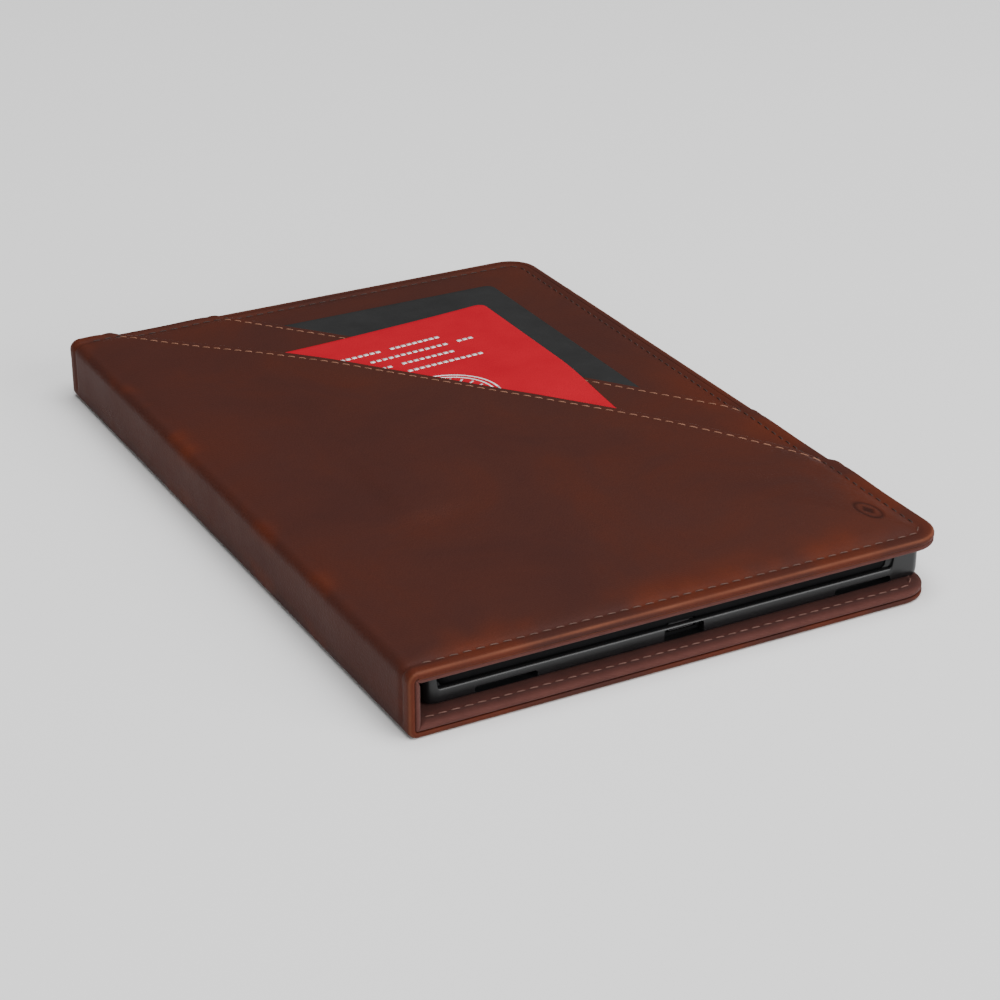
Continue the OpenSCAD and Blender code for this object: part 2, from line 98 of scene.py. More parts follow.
# Each pocket's diagonal edge: where it meets the far edge and the fore edge
REAR_EDGE = ((51.0, LENGTH), (WIDTH, 98.0))
FRONT_EDGE = ((14.0, LENGTH), (WIDTH, 54.0))

# Where the front pocket's leather climbs on to the booklet, at its left, right and near edges
BOOKLET_LEFT, BOOKLET_RIGHT, BOOKLET_NEAR = (33, 43), (131, 143), (70, 81)


def place(points):
    """Millimetres from the spine and near edge to metres in the row frame."""
    return [(SPINE_X + x * MM, NEAR_Y + y * MM, z * MM) for x, y, z in points]


def smooth(low, high, value):
    """0 below low and 1 above high, with a smooth step between."""
    t = min(max((value - low) / (high - low), 0.0), 1.0)
    return t * t * (3 - 2 * t)


def bell(value, width):
    return math.exp(-((value / width) ** 2))


def ripple(x, y, scale, seed):
    """Smooth noise from -1 to 1 whose waves are about scale long."""
    return noise.noise(Vector((x / scale, y / scale, seed)))


# ---- Materials ----

class Shader:
    """A node material built up call by call."""

    def __init__(self, name, roughness=0.5, **sockets):
        self.material = bpy.data.materials.new(name)
        self.material.use_nodes = True
        self.tree = self.material.node_tree
        self.bsdf = self.tree.nodes["Principled BSDF"]
        self.bsdf.inputs["Roughness"].default_value = roughness
        for socket, value in sockets.items():
            self.bsdf.inputs[socket.replace("_", " ")].default_value = value
        self.coordinates = self.tree.nodes.new("ShaderNodeTexCoord").outputs["Object"]

    def node(self, kind, **settings):
        made = self.tree.nodes.new(kind)
        for key, value in settings.items():
            setattr(made, key, value)
        return made

    def link(self, source, target):
        self.tree.links.new(source, target)

    def noise(self, scale, detail=4.0, roughness=0.55, distortion=0.0, stretch=(1, 1, 1)):
        mapping = self.node("ShaderNodeMapping")
        mapping.inputs["Scale"].default_value = stretch
        self.link(self.coordinates, mapping.inputs["Vector"])
        made = self.node("ShaderNodeTexNoise")
        made.inputs["Scale"].default_value = scale
        made.inputs["Detail"].default_value = detail
        made.inputs["Roughness"].default_value = roughness
        made.inputs["Distortion"].default_value = distortion
        self.link(mapping.outputs["Vector"], made.inputs["Vector"])
        return made.outputs["Fac"]

    def voronoi(self, scale):
        made = self.node("ShaderNodeTexVoronoi")
        made.inputs["Scale"].default_value = scale
        self.link(self.coordinates, made.inputs["Vector"])
        return made.outputs["Distance"]

    def attribute(self, name):
        return self.node("ShaderNodeAttribute", attribute_name=name).outputs["Fac"]

    def math(self, operation, first, second=0.0):
        made = self.node("ShaderNodeMath", operation=operation)
        for socket, value in zip(made.inputs, (first, second)):
            if isinstance(value, (int, float)):
                socket.default_value = value
            else:
                self.link(value, socket)
        return made.outputs["Value"]

    def ramp(self, value, stops):
        made = self.node("ShaderNodeValToRGB")
        elements = made.color_ramp.elements
        elements[0].position, elements[0].color = stops[0][0], (*stops[0][1], 1)
        elements[1].position, elements[1].color = stops[-1][0], (*stops[-1][1], 1)
        for position, colour in stops[1:-1]:
            elements.new(position).color = (*colour, 1)
        self.link(value, made.inputs["Fac"])
        return made.outputs["Color"]

    def mix(self, factor, first, second):
        """Mixes two colours. Inputs 0, 6 and 7 are the colour mode's factor and colours."""
        made = self.node("ShaderNodeMix", data_type="RGBA")
        for k, value in ((0, factor), (6, first), (7, second)):
            socket = made.inputs[k]
            if isinstance(value, (int, float)):
                socket.default_value = value
            elif isinstance(value, tuple):
                socket.default_value = (*value, 1)
            else:
                self.link(value, socket)
        return made.outputs[2]

    def scaled(self, value, low, high):
        made = self.node("ShaderNodeMapRange")
        made.inputs["To Min"].default_value = low
        made.inputs["To Max"].default_value = high
        self.link(value, made.inputs["Value"])
        return made.outputs["Result"]

    def colour(self, source):
        self.link(source, self.bsdf.inputs["Base Color"])

    def rough(self, source):
        self.link(source, self.bsdf.inputs["Roughness"])

    def bump(self, height, distance, strength):
        made = self.node("ShaderNodeBump")
        made.inputs["Strength"].default_value = strength
        made.inputs["Distance"].default_value = distance
        self.link(height, made.inputs["Height"])
        self.link(made.outputs["Normal"], self.bsdf.inputs["Normal"])
        return self.material


def leather():
    """Waxed brown leather that turns redder and lighter where it is pulled over an edge, with a painted
    highlight, partly real burnish, along its turned edge's shoulder.
    """
    s = Shader("brown_leather", 0.5, Specular_IOR_Level=0.06)
    clouds = s.noise(22, 5, 0.6, 0.6)
    streaks = s.noise(70, 4, 0.6, 0.4, (1, 0.55, 1))
    speckle = s.noise(900, 2, 0.5)
    body = s.ramp(clouds, [(0.34, (0.044, 0.0165, 0.0135)), (0.5, (0.051, 0.0175, 0.0135)),
                           (0.68, (0.062, 0.0175, 0.0115))])
    body = s.mix(s.scaled(streaks, 0.0, 0.45), body, (0.060, 0.0165, 0.0105))
    pulled = s.mix(s.scaled(streaks, 0.0, 1.0), (0.072, 0.0140, 0.0070), (0.115, 0.026, 0.011))
    body = s.mix(s.math("MULTIPLY", s.attribute("pull"), 0.8), body, pulled)
    # Painted highlight, partly real burnish: a lighter band on the turned edge's shoulder.
    body = s.mix(s.attribute("burnish_and_painted_highlight"), body, (0.15, 0.050, 0.027))
    body = s.mix(s.attribute("stamp"), body, (0.017, 0.007, 0.006))
    body = s.mix(s.scaled(speckle, 0.0, 0.3), body, (0.035, 0.012, 0.009))
    grain = s.math("ADD", s.voronoi(1500), s.math("MULTIPLY", s.noise(3200, 3), 0.6))
    pores = s.math("ADD", grain, s.math("MULTIPLY", s.noise(300, 4, 0.6), 1.2))
    s.colour(body)
    s.rough(s.scaled(s.noise(45, 5, 0.65), 0.4, 0.62))
    return s.bump(pores, 0.00009, 0.55)


def lining():
    """Matt rosy-brown microfibre."""
    s = Shader("rosy_microfibre", 0.75, Specular_IOR_Level=0.12, Sheen_Weight=0.05, Sheen_Roughness=0.5)
    body = s.ramp(s.noise(120, 5, 0.65), [(0.3, (0.057, 0.0185, 0.0145)), (0.7, (0.082, 0.0270, 0.0215))])
    body = s.mix(s.scaled(s.noise(2600, 2), 0.0, 0.35), body, (0.11, 0.040, 0.033))
    s.colour(body)
    fibres = s.math("ADD", s.noise(1900, 4, 0.7, 0.8), s.math("MULTIPLY", s.noise(500, 3), 0.8))
    return s.bump(fibres, 0.00012, 0.6)


def thread(name, dark, light):
    """Waxed thread, twisted along each stitch."""
    s = Shader(name, 0.6, Specular_IOR_Level=0.3)
    s.colour(s.ramp(s.noise(700, 3), [(0.3, dark), (0.7, light)]))
    return s.bump(s.noise(2600, 3, 0.6, 1.0), 0.00008, 0.6)


def plastic(name, dark, light, roughness, spread, bump=0.00003, **sockets):
    """Moulded plastic with a fine spark-eroded grain and faint handling marks."""
    s = Shader(name, roughness, **sockets)
    s.colour(s.ramp(s.noise(60, 4), [(0.35, dark), (0.7, light)]))
    s.rough(s.scaled(s.noise(160, 5, 0.7), roughness - spread, roughness + spread))
    return s.bump(s.noise(3500, 3, 0.6), bump, 0.4)


def card_stock():
    """Matt black coated card with rubbed patches."""
    s = Shader("black_card", 0.6, Specular_IOR_Level=0.15)
    s.colour(s.ramp(s.noise(90, 6, 0.7), [(0.35, (0.0165, 0.0165, 0.0166)), (0.75, (0.022, 0.022, 0.0222))]))
    s.rough(s.scaled(s.noise(240, 5, 0.7), 0.5, 0.72))
    return s.bump(s.noise(1800, 3), 0.00004, 0.5)


def cloth_cover():
    """Red bookcloth with a pressed grain."""
    s = Shader("red_bookcloth", 0.5, Specular_IOR_Level=0.1)
    s.colour(s.ramp(s.noise(60, 5, 0.6), [(0.3, (0.36, 0.0035, 0.0135)), (0.7, (0.41, 0.0045, 0.0165))]))
    s.rough(s.scaled(s.noise(200, 4), 0.42, 0.6))
    return s.bump(s.math("ADD", s.voronoi(1300), s.noise(2500, 2)), 0.00006, 0.4)


def foil():
    """Pale foil blocking."""
    s = Shader("pale_foil", 0.35, Metallic=0.15)
    s.colour(s.ramp(s.noise(400, 3), [(0.3, (0.70, 0.70, 0.71)), (0.7, (0.84, 0.84, 0.84))]))
    return s.material


def paper():
    """Edges of many thin leaves."""
    s = Shader("paper_leaves", 0.85)
    leaves = s.noise(60, 3, 0.6, 0.0, (0.15, 0.15, 60))
    s.colour(s.ramp(leaves, [(0.35, (0.55, 0.53, 0.48)), (0.65, (0.80, 0.78, 0.72))]))
    return s.bump(leaves, 0.0001, 0.6)


def metal(name, colour, roughness):
    """Plated or cast metal, drawn along one direction."""
    s = Shader(name, roughness, Metallic=1.0)
    darker = tuple(c * 0.82 for c in colour)
    s.colour(s.ramp(s.noise(300, 5, 0.65, 0, (1, 12, 1)), [(0.3, darker), (0.7, colour)]))
    s.rough(s.scaled(s.noise(420, 4), roughness - 0.08, roughness + 0.1))
    return s.bump(s.noise(1500, 3, 0.6, 0, (1, 8, 1)), 0.00003, 0.4)


def screen_paper():
    """Electronic paper that shows a page of plain grey bars between pale margins, in metres."""
    line_pitch, middle_x, half_width, text_low, text_high = 0.0068, 0.002, 0.056, -0.082, 0.088
    bars_per_metre, row_step, lines_per_block = 330.0, 7.3, 7.0
    s = Shader("electronic_paper", 0.7, Specular_IOR_Level=0.3)
    split = s.node("ShaderNodeSeparateXYZ")
    s.link(s.coordinates, split.inputs["Vector"])
    x, y = split.outputs["X"], split.outputs["Y"]
    line = s.math("FRACT", s.math("DIVIDE", y, line_pitch))
    row = s.math("FLOOR", s.math("DIVIDE", y, line_pitch))
    in_line = s.math("MULTIPLY", s.math("GREATER_THAN", line, 0.36), s.math("LESS_THAN", line, 0.66))
    words = s.node("ShaderNodeTexNoise", noise_dimensions="2D")
    place_words = s.node("ShaderNodeCombineXYZ")
    s.link(s.math("MULTIPLY", x, bars_per_metre), place_words.inputs["X"])
    s.link(s.math("MULTIPLY", row, row_step), place_words.inputs["Y"])
    s.link(place_words.outputs["Vector"], words.inputs["Vector"])
    words.inputs["Scale"].default_value = 1.0
    words.inputs["Detail"].default_value = 1.0
    in_word = s.math("GREATER_THAN", words.outputs["Fac"], 0.43)
    inside_x = s.math("LESS_THAN", s.math("ABSOLUTE", s.math("ADD", x, -middle_x)), half_width)
    inside_y = s.math("MULTIPLY", s.math("LESS_THAN", y, text_high), s.math("GREATER_THAN", y, text_low))
    in_block = s.math("GREATER_THAN", s.math("MODULO", s.math("ADD", row, 40.0), lines_per_block), 0.5)
    ink = s.math("MULTIPLY", s.math("MULTIPLY", in_line, in_word), s.math("MULTIPLY", inside_x, inside_y))
    ink = s.math("MULTIPLY", ink, in_block)
    page = s.ramp(s.noise(1500, 3), [(0.3, (0.50, 0.505, 0.475)), (0.7, (0.56, 0.565, 0.535))])
    s.colour(s.mix(s.math("MULTIPLY", ink, 0.85), page, (0.075, 0.077, 0.08)))
    return s.bump(s.noise(4000, 2), 0.00001, 0.3)


def clear_glass(name, tint, roughness):
    """A clear sheet with a faint etch."""
    s = Shader(name, roughness, Transmission_Weight=1.0, IOR=1.3)
    s.colour(s.ramp(s.noise(200, 3), [(0.3, tuple(c * 0.97 for c in tint)), (0.7, tint)]))
    return s.bump(s.noise(3000, 2), 0.00001, 0.1)


LEATHER = leather()
LINING = lining()
TAN_THREAD = thread("tan_thread", (0.15, 0.062, 0.036), (0.26, 0.118, 0.072))
DULL_THREAD = thread("dull_thread", (0.062, 0.027, 0.020), (0.100, 0.047, 0.035))
# The edge thread again, painted darker as shade, for the fore and far edges' stitches.
PAINTED_SHADE_THREAD = thread("thread_in_painted_shade", (0.028, 0.013, 0.010), (0.045, 0.020, 0.016))
ROSY_THREAD = thread("rosy_thread", (0.13, 0.058, 0.045), (0.21, 0.105, 0.085))
SHELL = plastic("shell_polycarbonate", (0.0085, 0.0088, 0.0093), (0.0115, 0.0119, 0.0127), 0.3, 0.03,
                0.000006, Specular_IOR_Level=0.36)
# The reader's black plastic, painted darker still as the shade inside the shell.
HOUSING_PAINTED_SHADE = plastic("reader_plastic_painted_shade", (0.0030, 0.0030, 0.0034), (0.0050, 0.0050, 0.0055), 0.6, 0.06,
                  Specular_IOR_Level=0.1)
KEYS = plastic("key_plastic", (0.035, 0.037, 0.04), (0.05, 0.052, 0.056), 0.42, 0.06)
CARD = card_stock()
BOOKCLOTH = cloth_cover()
FOIL = foil()
PAPER = paper()
FOAM = plastic("soft_foam", (0.06, 0.06, 0.06), (0.1, 0.1, 0.1), 0.9, 0.05, 0.0002)


# ---- Mesh helpers ----

def make_piece(name, points, faces, body, slot, material, attributes=None):
    """A smooth mesh object, from points in millimetres, that rides on a body if one is given."""
    mesh = bpy.data.meshes.new(name)
    mesh.from_pydata(place(points), [], faces)
    mesh.validate()
    for key, values in (attributes or {}).items():
        mesh.attributes.new(key, "FLOAT", "POINT").data.foreach_set("value", values)
    mesh.shade_smooth()
    mesh.materials.append(material)
    piece = bpy.data.objects.new(name, mesh)
    bpy.context.scene.collection.objects.link(piece)
    if body:
        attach(piece, body)
    return piece


def modify(piece, kind, **settings):
    """Adds a modifier and replaces the piece's mesh with the one that it makes."""
    modifier = piece.modifiers.new(kind.lower(), kind)
    for key, value in settings.items():
        setattr(modifier, key, value)
    bpy.context.view_layer.update()
    evaluated = piece.evaluated_get(bpy.context.evaluated_depsgraph_get())
    made = bpy.data.meshes.new_from_object(evaluated)
    piece.modifiers.clear()
    piece.data = made


def join(parts):
    """Points and faces of several solids as one mesh."""
    points, faces = [], []
    for more, cells in parts:
        faces += [tuple(len(points) + k for k in cell) for cell in cells]
        points += more
    return points, faces


def arc_points(cx, cy, radius, start, count, step):
    """Points round a circle's arc from an angle of start, counter-clockwise, in steps of degrees."""
    turns = (math.radians(start + step * k) for k in range(count))
    return [(cx + radius * math.cos(turn), cy + radius * math.sin(turn)) for turn in turns]


def round_ring(x0, x1, y0, y1, radii, inset, along, across, arc):
    """Points counter-clockwise round a rectangle, inset from it, with radii at its x0 and x1 corners.

    A corner's radius shrinks with the inset, to 2 mm at least, and to fit the rectangle at most.
    """
    half = min(x1 - x0, y1 - y0) / 2 - inset
    r0, r1 = (min(max(r - inset, min(2.0, r)), max(half, 0.01) * 0.9) for r in radii)
    x0, x1, y0, y1 = x0 + inset, x1 - inset, y0 + inset, y1 - inset
    corners = ((x1 - r1, y0 + r1, r1, -90), (x1 - r1, y1 - r1, r1, 0),
               (x0 + r0, y1 - r0, r0, 90), (x0 + r0, y0 + r0, r0, 180))
    ends = ((x0 + r0, y0), (x1, y0 + r1), (x1 - r1, y1), (x0, y1 - r0))
    starts = ((x1 - r1, y0), (x1, y1 - r1), (x0 + r0, y1), (x0, y0 + r0))
    points = []
    for i, (cx, cy, r, angle) in enumerate(corners):
        count = across if i % 2 == 0 else along
        (ax, ay), (bx, by) = ends[i], starts[i]
        points += [(ax + (bx - ax) * k / count, ay + (by - ay) * k / count) for k in range(count)]
        points += arc_points(cx, cy, r, angle, arc, 90 / arc)
    return points


def grid_faces(rows, count, closed=True):
    """Quads between rows of count points each, which are closed rings or open lines."""
    faces = []
    for a in range(0, (rows - 1) * count, count):
        for k in range(count if closed else count - 1):
            n = (k + 1) % count
            faces.append((a + k, a + n, a + count + n, a + count + k))
    return faces


def loft(rings, across, along, arc, flip=False):
    """Points and faces of a closed solid through rings of one length, with its end rings filled."""
    count = len(rings[0])
    points = [p for ring in rings for p in ring]
    faces = grid_faces(len(rings), count)
    right = [across + arc + k for k in range(along + 1)]
    left = [2 * across + along + 3 * arc + k for k in range(along + 1)]
    for base, up in ((0, False), ((len(rings) - 1) * count, True)):
        cells = []
        for k in range(along):
            cells.append((left[along - k], right[k], right[k + 1], left[along - k - 1]))
        near = [left[along]] + [k for k in range(left[along] + 1, count)] + list(range(right[0] + 1))
        far = list(range(right[along], left[0] + 1))
        cells += [tuple(near), tuple(far)]
        for cell in cells:
            cell = tuple(dict.fromkeys((base + k % count) for k in cell))
            faces.append(cell if up else cell[::-1])
    if flip:
        faces = [f[::-1] for f in faces]
    return points, faces


def pillow(name, box, radii, rows, body, slot, material, shape=None, counts=(40, 60, 8), lay=None):
    """A closed solid over a rounded rectangle that box gives for each height.

    rows are (inset, height) from the middle of its base to the middle of its top. shape gives each
    point's height, and lay turns the whole solid to stand on edge.
    """
    across, along, arc = counts
    rings = []
    for inset, z in rows:
        ring = round_ring(*box(z), radii, inset, along, across, arc)
        rings.append([(x, y, shape(x, y, z) if shape else z) for x, y in ring])
    points, faces = loft(rings, across, along, arc, flip=bool(lay))
    if lay:
        points = [lay(*p) for p in points]
    return make_piece(name, points, faces, body, slot, material)


# ---- The front cover's surface ----

def direction(edge):
    """Unit vector along a pocket's diagonal edge, from the far edge to the fore edge."""
    (ax, ay), (bx, by) = edge
    length = math.hypot(bx - ax, by - ay)
    return (bx - ax) / length, (by - ay) / length


def behind(edge, x, y):
    """Distance from a pocket's diagonal edge to a point on the pocket's side of it, negative beyond it."""
    ux, uy = direction(edge)
    return ux * (edge[0][1] - y) - uy * (edge[0][0] - x)


def rim_distance(x, y):
    """Distance in from the front cover's near, far and fore edges, with its round corners."""
    d = min(y, LENGTH - y, WIDTH - x)
    cx, cy = WIDTH - COVER_R, COVER_R if y < LENGTH / 2 else LENGTH - COVER_R
    out_y = cy - y if y < LENGTH / 2 else y - cy
    if x > cx and out_y > 0:
        d = COVER_R - math.hypot(x - cx, out_y)
    return d


def side_distance(x, y):
    """Distance in from the front cover's four sides, counting its fold as one."""
    return min(rim_distance(x, y), x - 1.0)


def fill(x, y, reach):
    """How far the padding has risen at a point, from 0 at the stitching to 1."""
    t = min(max((side_distance(x, y) - 4.0) / reach, 0.0), 1.0)
    return 1 - (1 - t) ** 2


def crown(x, y):
    """The board's own gentle crown, from 0 at the stitching to 1."""
    return smooth(6, 52, side_distance(x, y))


def seam_shape(q, thick):
    """A folded hem q behind the edge: doubled leather, rolled there and drawn in along the stitches."""
    fold = thick * (1 - smooth(HEM - 3, HEM + 8, q))
    roll = 0.5 * max(0.0, 1 - q / 0.9) ** 2
    return fold - roll - 0.2 * bell(q - HEM_STITCH, 0.55)


def edge_groove(x, y):
    """The stitched valley round the cover, with a rolled edge outside it and a pad inside it."""
    d = rim_distance(x, y)
    return GROOVE * (smooth(2, 9, x) * smooth(EDGE_STITCH, 9.5, d) - bell(d - EDGE_STITCH, GROOVE_W))


def spine_rise(x, y):
    """The same valley, carried round the spine to its ends and faded out under the folio."""
    return -GROOVE * bell(min(y, LENGTH - y) - EDGE_STITCH, GROOVE_W) * (1 - smooth(-4, 0, x))


def creases(x, y, amount):
    """Soft waves in the leather, amount high, with a finer ripple over them."""
    broad = ripple(x, y, 34, 2.7) + 0.5 * ripple(x, y, 15, 8.1)
    return amount * broad + 0.035 * ripple(x, y, 6, 4.4)


def front_rise(x, y):
    """Height of the front pocket's leather over the stitched edge."""
    q = behind(FRONT_EDGE, x, y)
    dome = smooth(20, 68, x) * (1 - smooth(30, 95, q))
    booklet = smooth(*BOOKLET_LEFT, x) * (1 - smooth(*BOOKLET_RIGHT, x)) * smooth(*BOOKLET_NEAR, y)
    padding = fill(x, y, 44) * (0.9 + 3.1 * max(dome, 0.31 * booklet))
    waves = creases(x, y, 0.16) * fill(x, y, 25)
    return padding + seam_shape(q, 0.42) + edge_groove(x, y) + waves - 0.22 * stamped(x, y)


def stamped(x, y):
    """1 in the grooves of the mark pressed into the leather, a ring round a diamond, and 0 beside them."""
    u, v = (x - STAMP_X) / STAMP_W, (y - STAMP_Y) / STAMP_L
    ring = bell(math.hypot(u, v) - 0.9, 0.13)
    diamond = smooth(-0.1, 0.12, 0.5 - abs(u) - abs(v))
    return min(ring + diamond, 1.0)


def rear_rise(x, y):
    """Height of the rear pocket's leather, one layer down."""
    waves = creases(x, y, 0.08) * fill(x, y, 25)
    return 0.5 * crown(x, y) - LAYER + seam_shape(behind(REAR_EDGE, x, y), 0.25) + edge_groove(x, y) + waves


def base_waves(x, y):
    return creases(x, y, 0.06) * fill(x, y, 25)


def base_rise(x, y):
    """Height of the cover's own leather, two layers down."""
    return 0.53 * crown(x, y) - 2 * LAYER + edge_groove(x, y) + base_waves(x, y)


# ---- Leather skins ----

# The turned edge, as (inset, height) from under the edge, round its shoulder, to the stitching
TURNED_EDGE = [(1.9, -2.0), (1.1, -2.0), (0.65, -1.95), (0.3, -1.8), (0.1, -1.55), (0.0, -1.25),
               (0.02, -0.98), (0.1, -0.7), (0.28, -0.42), (0.55, -0.2), (0.95, -0.06), (1.5, 0.0),
               (2.1, 0.0), (2.8, 0.0)]


def insets_inward(last):
    """Insets of the rows past the turned edge: close together by the stitching, then 2 mm apart."""
    insets = [3.4, 3.9, 4.3, 4.7, 5.1, 5.6, 6.2, 7.0, 8.0, 9.2]
    while insets[-1] < last - 2.4:
        insets.append(insets[-1] + 2.0)
    return insets + [last]


def flat_skin(x_left, x_right, outset, drop, columns):
    """Grid of (x, y, height) over a cover laid flat, open at x_left, with extra columns before it.

    Its rows follow the near, fore and far edges, drop below the top layer.
    """
    lowest = 0.1 - TURN_DEPTH
    rows = [(i - outset, max(h - drop, -TURN_DEPTH) if h > lowest else h) for i, h in TURNED_EDGE]
    rows += [(i, -drop) for i in insets_inward(LENGTH / 2 - 0.8)]
    straight, arc, fore = 64, 8, 90
    points = []
    for inset, h in rows:
        r = min(max(COVER_R - inset, 2.0), (LENGTH / 2 - inset) * 0.9)
        x1, y0, y1 = x_right - inset, inset, LENGTH - inset
        xs = columns + [x_left + (x1 - r - x_left) * k / straight for k in range(straight)]
        line = [(x, y0) for x in xs] + arc_points(x1 - r, y0 + r, r, -90, arc, 90 / arc)
        line += [(x1, y0 + r + (y1 - y0 - 2 * r) * k / fore) for k in range(fore)]
        line += arc_points(x1 - r, y1 - r, r, 0, arc, 90 / arc)
        line += [(x1 - r, y1)] + [(x, y1) for x in reversed(xs)]
        points.append([(x, y, h) for x, y in line])
    count = len(points[0])
    faces = grid_faces(len(rows), count, closed=False)
    base = (len(rows) - 1) * count
    side = len(columns) + straight
    for k in range(side):
        faces.append((base + k, base + k + 1, base + count - 2 - k, base + count - 1 - k))
    faces.append(tuple(base + k for k in range(side, count - side)))
    return [p for line in points for p in line], faces


# Distances behind a pocket's edge where its hem changes shape, and last the edge itself
HEM_CUTS = (0.15, 0.35, 0.6, 0.95, 1.6, 2.2, 2.75, 3.3, 4.2, 6.0, 7.3, 8.0, 8.7, 9.5, 11.0, 0)


def cut_flat(points, faces, edge, refined=None):
    """Cuts a flat grid along a pocket's hem and edge, and deletes what lies beyond the edge.

    The faces within reach of the point refined are divided finely first.
    """
    ux, uy = direction(edge)
    bm = bmesh.new()
    made = [bm.verts.new(p) for p in points]
    for face in faces:
        bm.faces.new([made[k] for k in face])
    if refined:
        reach = 9.0
        near = {e for f in bm.faces if math.dist(f.calc_center_median()[:2], refined) < reach
                for e in f.edges}
        bmesh.ops.subdivide_edges(bm, edges=list(near), cuts=5, use_grid_fill=True)
    for q in HEM_CUTS:
        bmesh.ops.bisect_plane(bm, geom=bm.verts[:] + bm.edges[:] + bm.faces[:], dist=1e-4,
                               plane_co=(edge[0][0] + uy * q, edge[0][1] - ux * q, 0),
                               plane_no=(-uy, ux, 0), clear_outer=q == 0)
    bm.verts.index_update()
    points = [tuple(v.co) for v in bm.verts]
    faces = [tuple(v.index for v in f.verts) for f in bm.faces]
    bm.free()
    return points, faces


def fold_over(x, y, h, radius, level, up):
    """Lays a flat point over the fold and down the spine. up is 1 for the top fold, -1 for the bottom."""
    if x >= radius:
        across, out = x, h
    else:
        turn = min((radius - x) / radius, math.pi / 2)
        down = max(radius - x - radius * math.pi / 2, 0.0)
        across = radius - (radius + h) * math.sin(turn)
        out = (radius + h) * math.cos(turn) - radius - down
    return across, y, level + up * out


def mid_spine(radius, drop):
    """The flat x of a height drop below a cover's outer face, measured over a fold of that radius."""
    return radius - radius * math.pi / 2 - (drop - radius)


def skin_piece(name, grid, level, rise, body=None, fold=None, edge_colour_shift=0.0):
    """A leather sheet level below the top layer, whose outer face follows rise, thickened inward."""
    points, faces = grid
    # Masks for the pulled colour, the painted shoulder highlight and the pressed mark.
    shaped, colour_masks = [], {"pull": [], "burnish_and_painted_highlight": [], "stamp": []}
    for x, y, h in points:
        top = smooth(-TURN_DEPTH - level, -0.2 - level, h)
        lifted = h + (rise(x, y) + level) * top
        pull, burnish_and_painted_highlight = edge_wear_and_highlight(x + edge_colour_shift, y, h, level)
        colour_masks["pull"].append(pull)
        colour_masks["burnish_and_painted_highlight"].append(burnish_and_painted_highlight)
        colour_masks["stamp"].append(0.75 * stamped(x, y) if rise is front_rise else 0.0)
        shaped.append(fold(x, y, lifted) if fold else (x, y, HEIGHT + lifted))
    piece = make_piece(name, shaped, faces, body, "leather_brown", LEATHER, colour_masks)
    modify(piece, "SOLIDIFY", thickness=LEATHER_T * MM, offset=-1.0, use_even_offset=False)
    piece.data.set_sharp_from_angle(angle=math.radians(50))
    return piece


def edge_wear_and_highlight(x, y, h, level):
    """How much the leather is pulled (redder) at a point of a cover, and how much painted highlight, partly
    real burnish, lightens its turned edge's shoulder.
    """
    d = rim_distance(x, y)
    patches = smooth(-0.35, 0.45, ripple(x, y, 24, 1.3) + 0.4 * ripple(x, y, 7, 5.1))
    pull = (1 - smooth(4, 21, d)) * patches * (1 - 0.75 * smooth(70, 190, y))
    if x < 12:
        ends = 1 - smooth(1.5, 5, min(y, LENGTH - y))
        spine = 0.4 * (1 - smooth(-2, 2, x))
        pull = max(pull, (1 - smooth(1, 8, abs(x - 1))) * patches, ends, spine)
    # Painted highlight, partly real burnish: lighter round the shoulder of the turned edge.
    shoulder = bell(d - 0.45, 0.45) * bell(h + level + 0.3, 0.34)
    return min(max(pull, 0.0), 1.0), min(shoulder * (0.9 + 0.4 * ripple(x, y, 12, 6.0)), 1.0)


def fold_columns(radius, drop):
    """The flat grid's columns from mid-spine, close together over the fold."""
    start, bend = mid_spine(radius, drop), radius - radius * math.pi / 2
    columns = [start + (bend - start) * k / 5 for k in range(5)]
    columns += [bend + (radius - bend) * k / 12 for k in range(13)]
    return columns + [radius + 0.8, radius + 1.8, radius + 3.2]


front_grid = flat_skin(9.0, WIDTH, 0.0, 0.0, fold_columns(TOP_FOLD_R, MID_SPINE))
front_skin = skin_piece("front_pocket_leather", cut_flat(*front_grid, FRONT_EDGE, (STAMP_X, STAMP_Y)), 0.0,
                        front_rise, fold=lambda x, y, h: fold_over(x, y, h, TOP_FOLD_R, HEIGHT, 1))
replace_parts(front_skin, "front_pocket_panel")
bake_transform(front_skin)

rear_grid = cut_flat(*flat_skin(3.0, WIDTH, -0.2, LAYER, []), REAR_EDGE)
rear_skin = skin_piece("rear_pocket_leather", rear_grid, LAYER, rear_rise, "front_cover")
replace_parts(rear_skin, "rear_pocket_panel")

base_grid = flat_skin(3.0, WIDTH, -0.4, 2 * LAYER, [])
base_skin = skin_piece("front_cover_leather", base_grid, 2 * LAYER, base_rise, "front_cover")
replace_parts(base_skin, "front_leather")

back_columns = fold_columns(BOTTOM_FOLD_R, HEIGHT - MID_SPINE)
back_points, back_faces = flat_skin(9.0, BACK_WIDTH, 0.0, 0.0, back_columns)
back_grid = ([(x, y, max(h, -BACK_LIP) if x > 1 else h) for x, y, h in back_points],
             [face[::-1] for face in back_faces])
back_skin = skin_piece("back_cover_leather", back_grid, 0.0, spine_rise,
                       fold=lambda x, y, h: fold_over(x, y, h, BOTTOM_FOLD_R, 0.0, -1),
                       edge_colour_shift=WIDTH - BACK_WIDTH)
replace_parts(back_skin, "back_leather", "spine_leather")
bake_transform(back_skin)


# ---- Linings ----

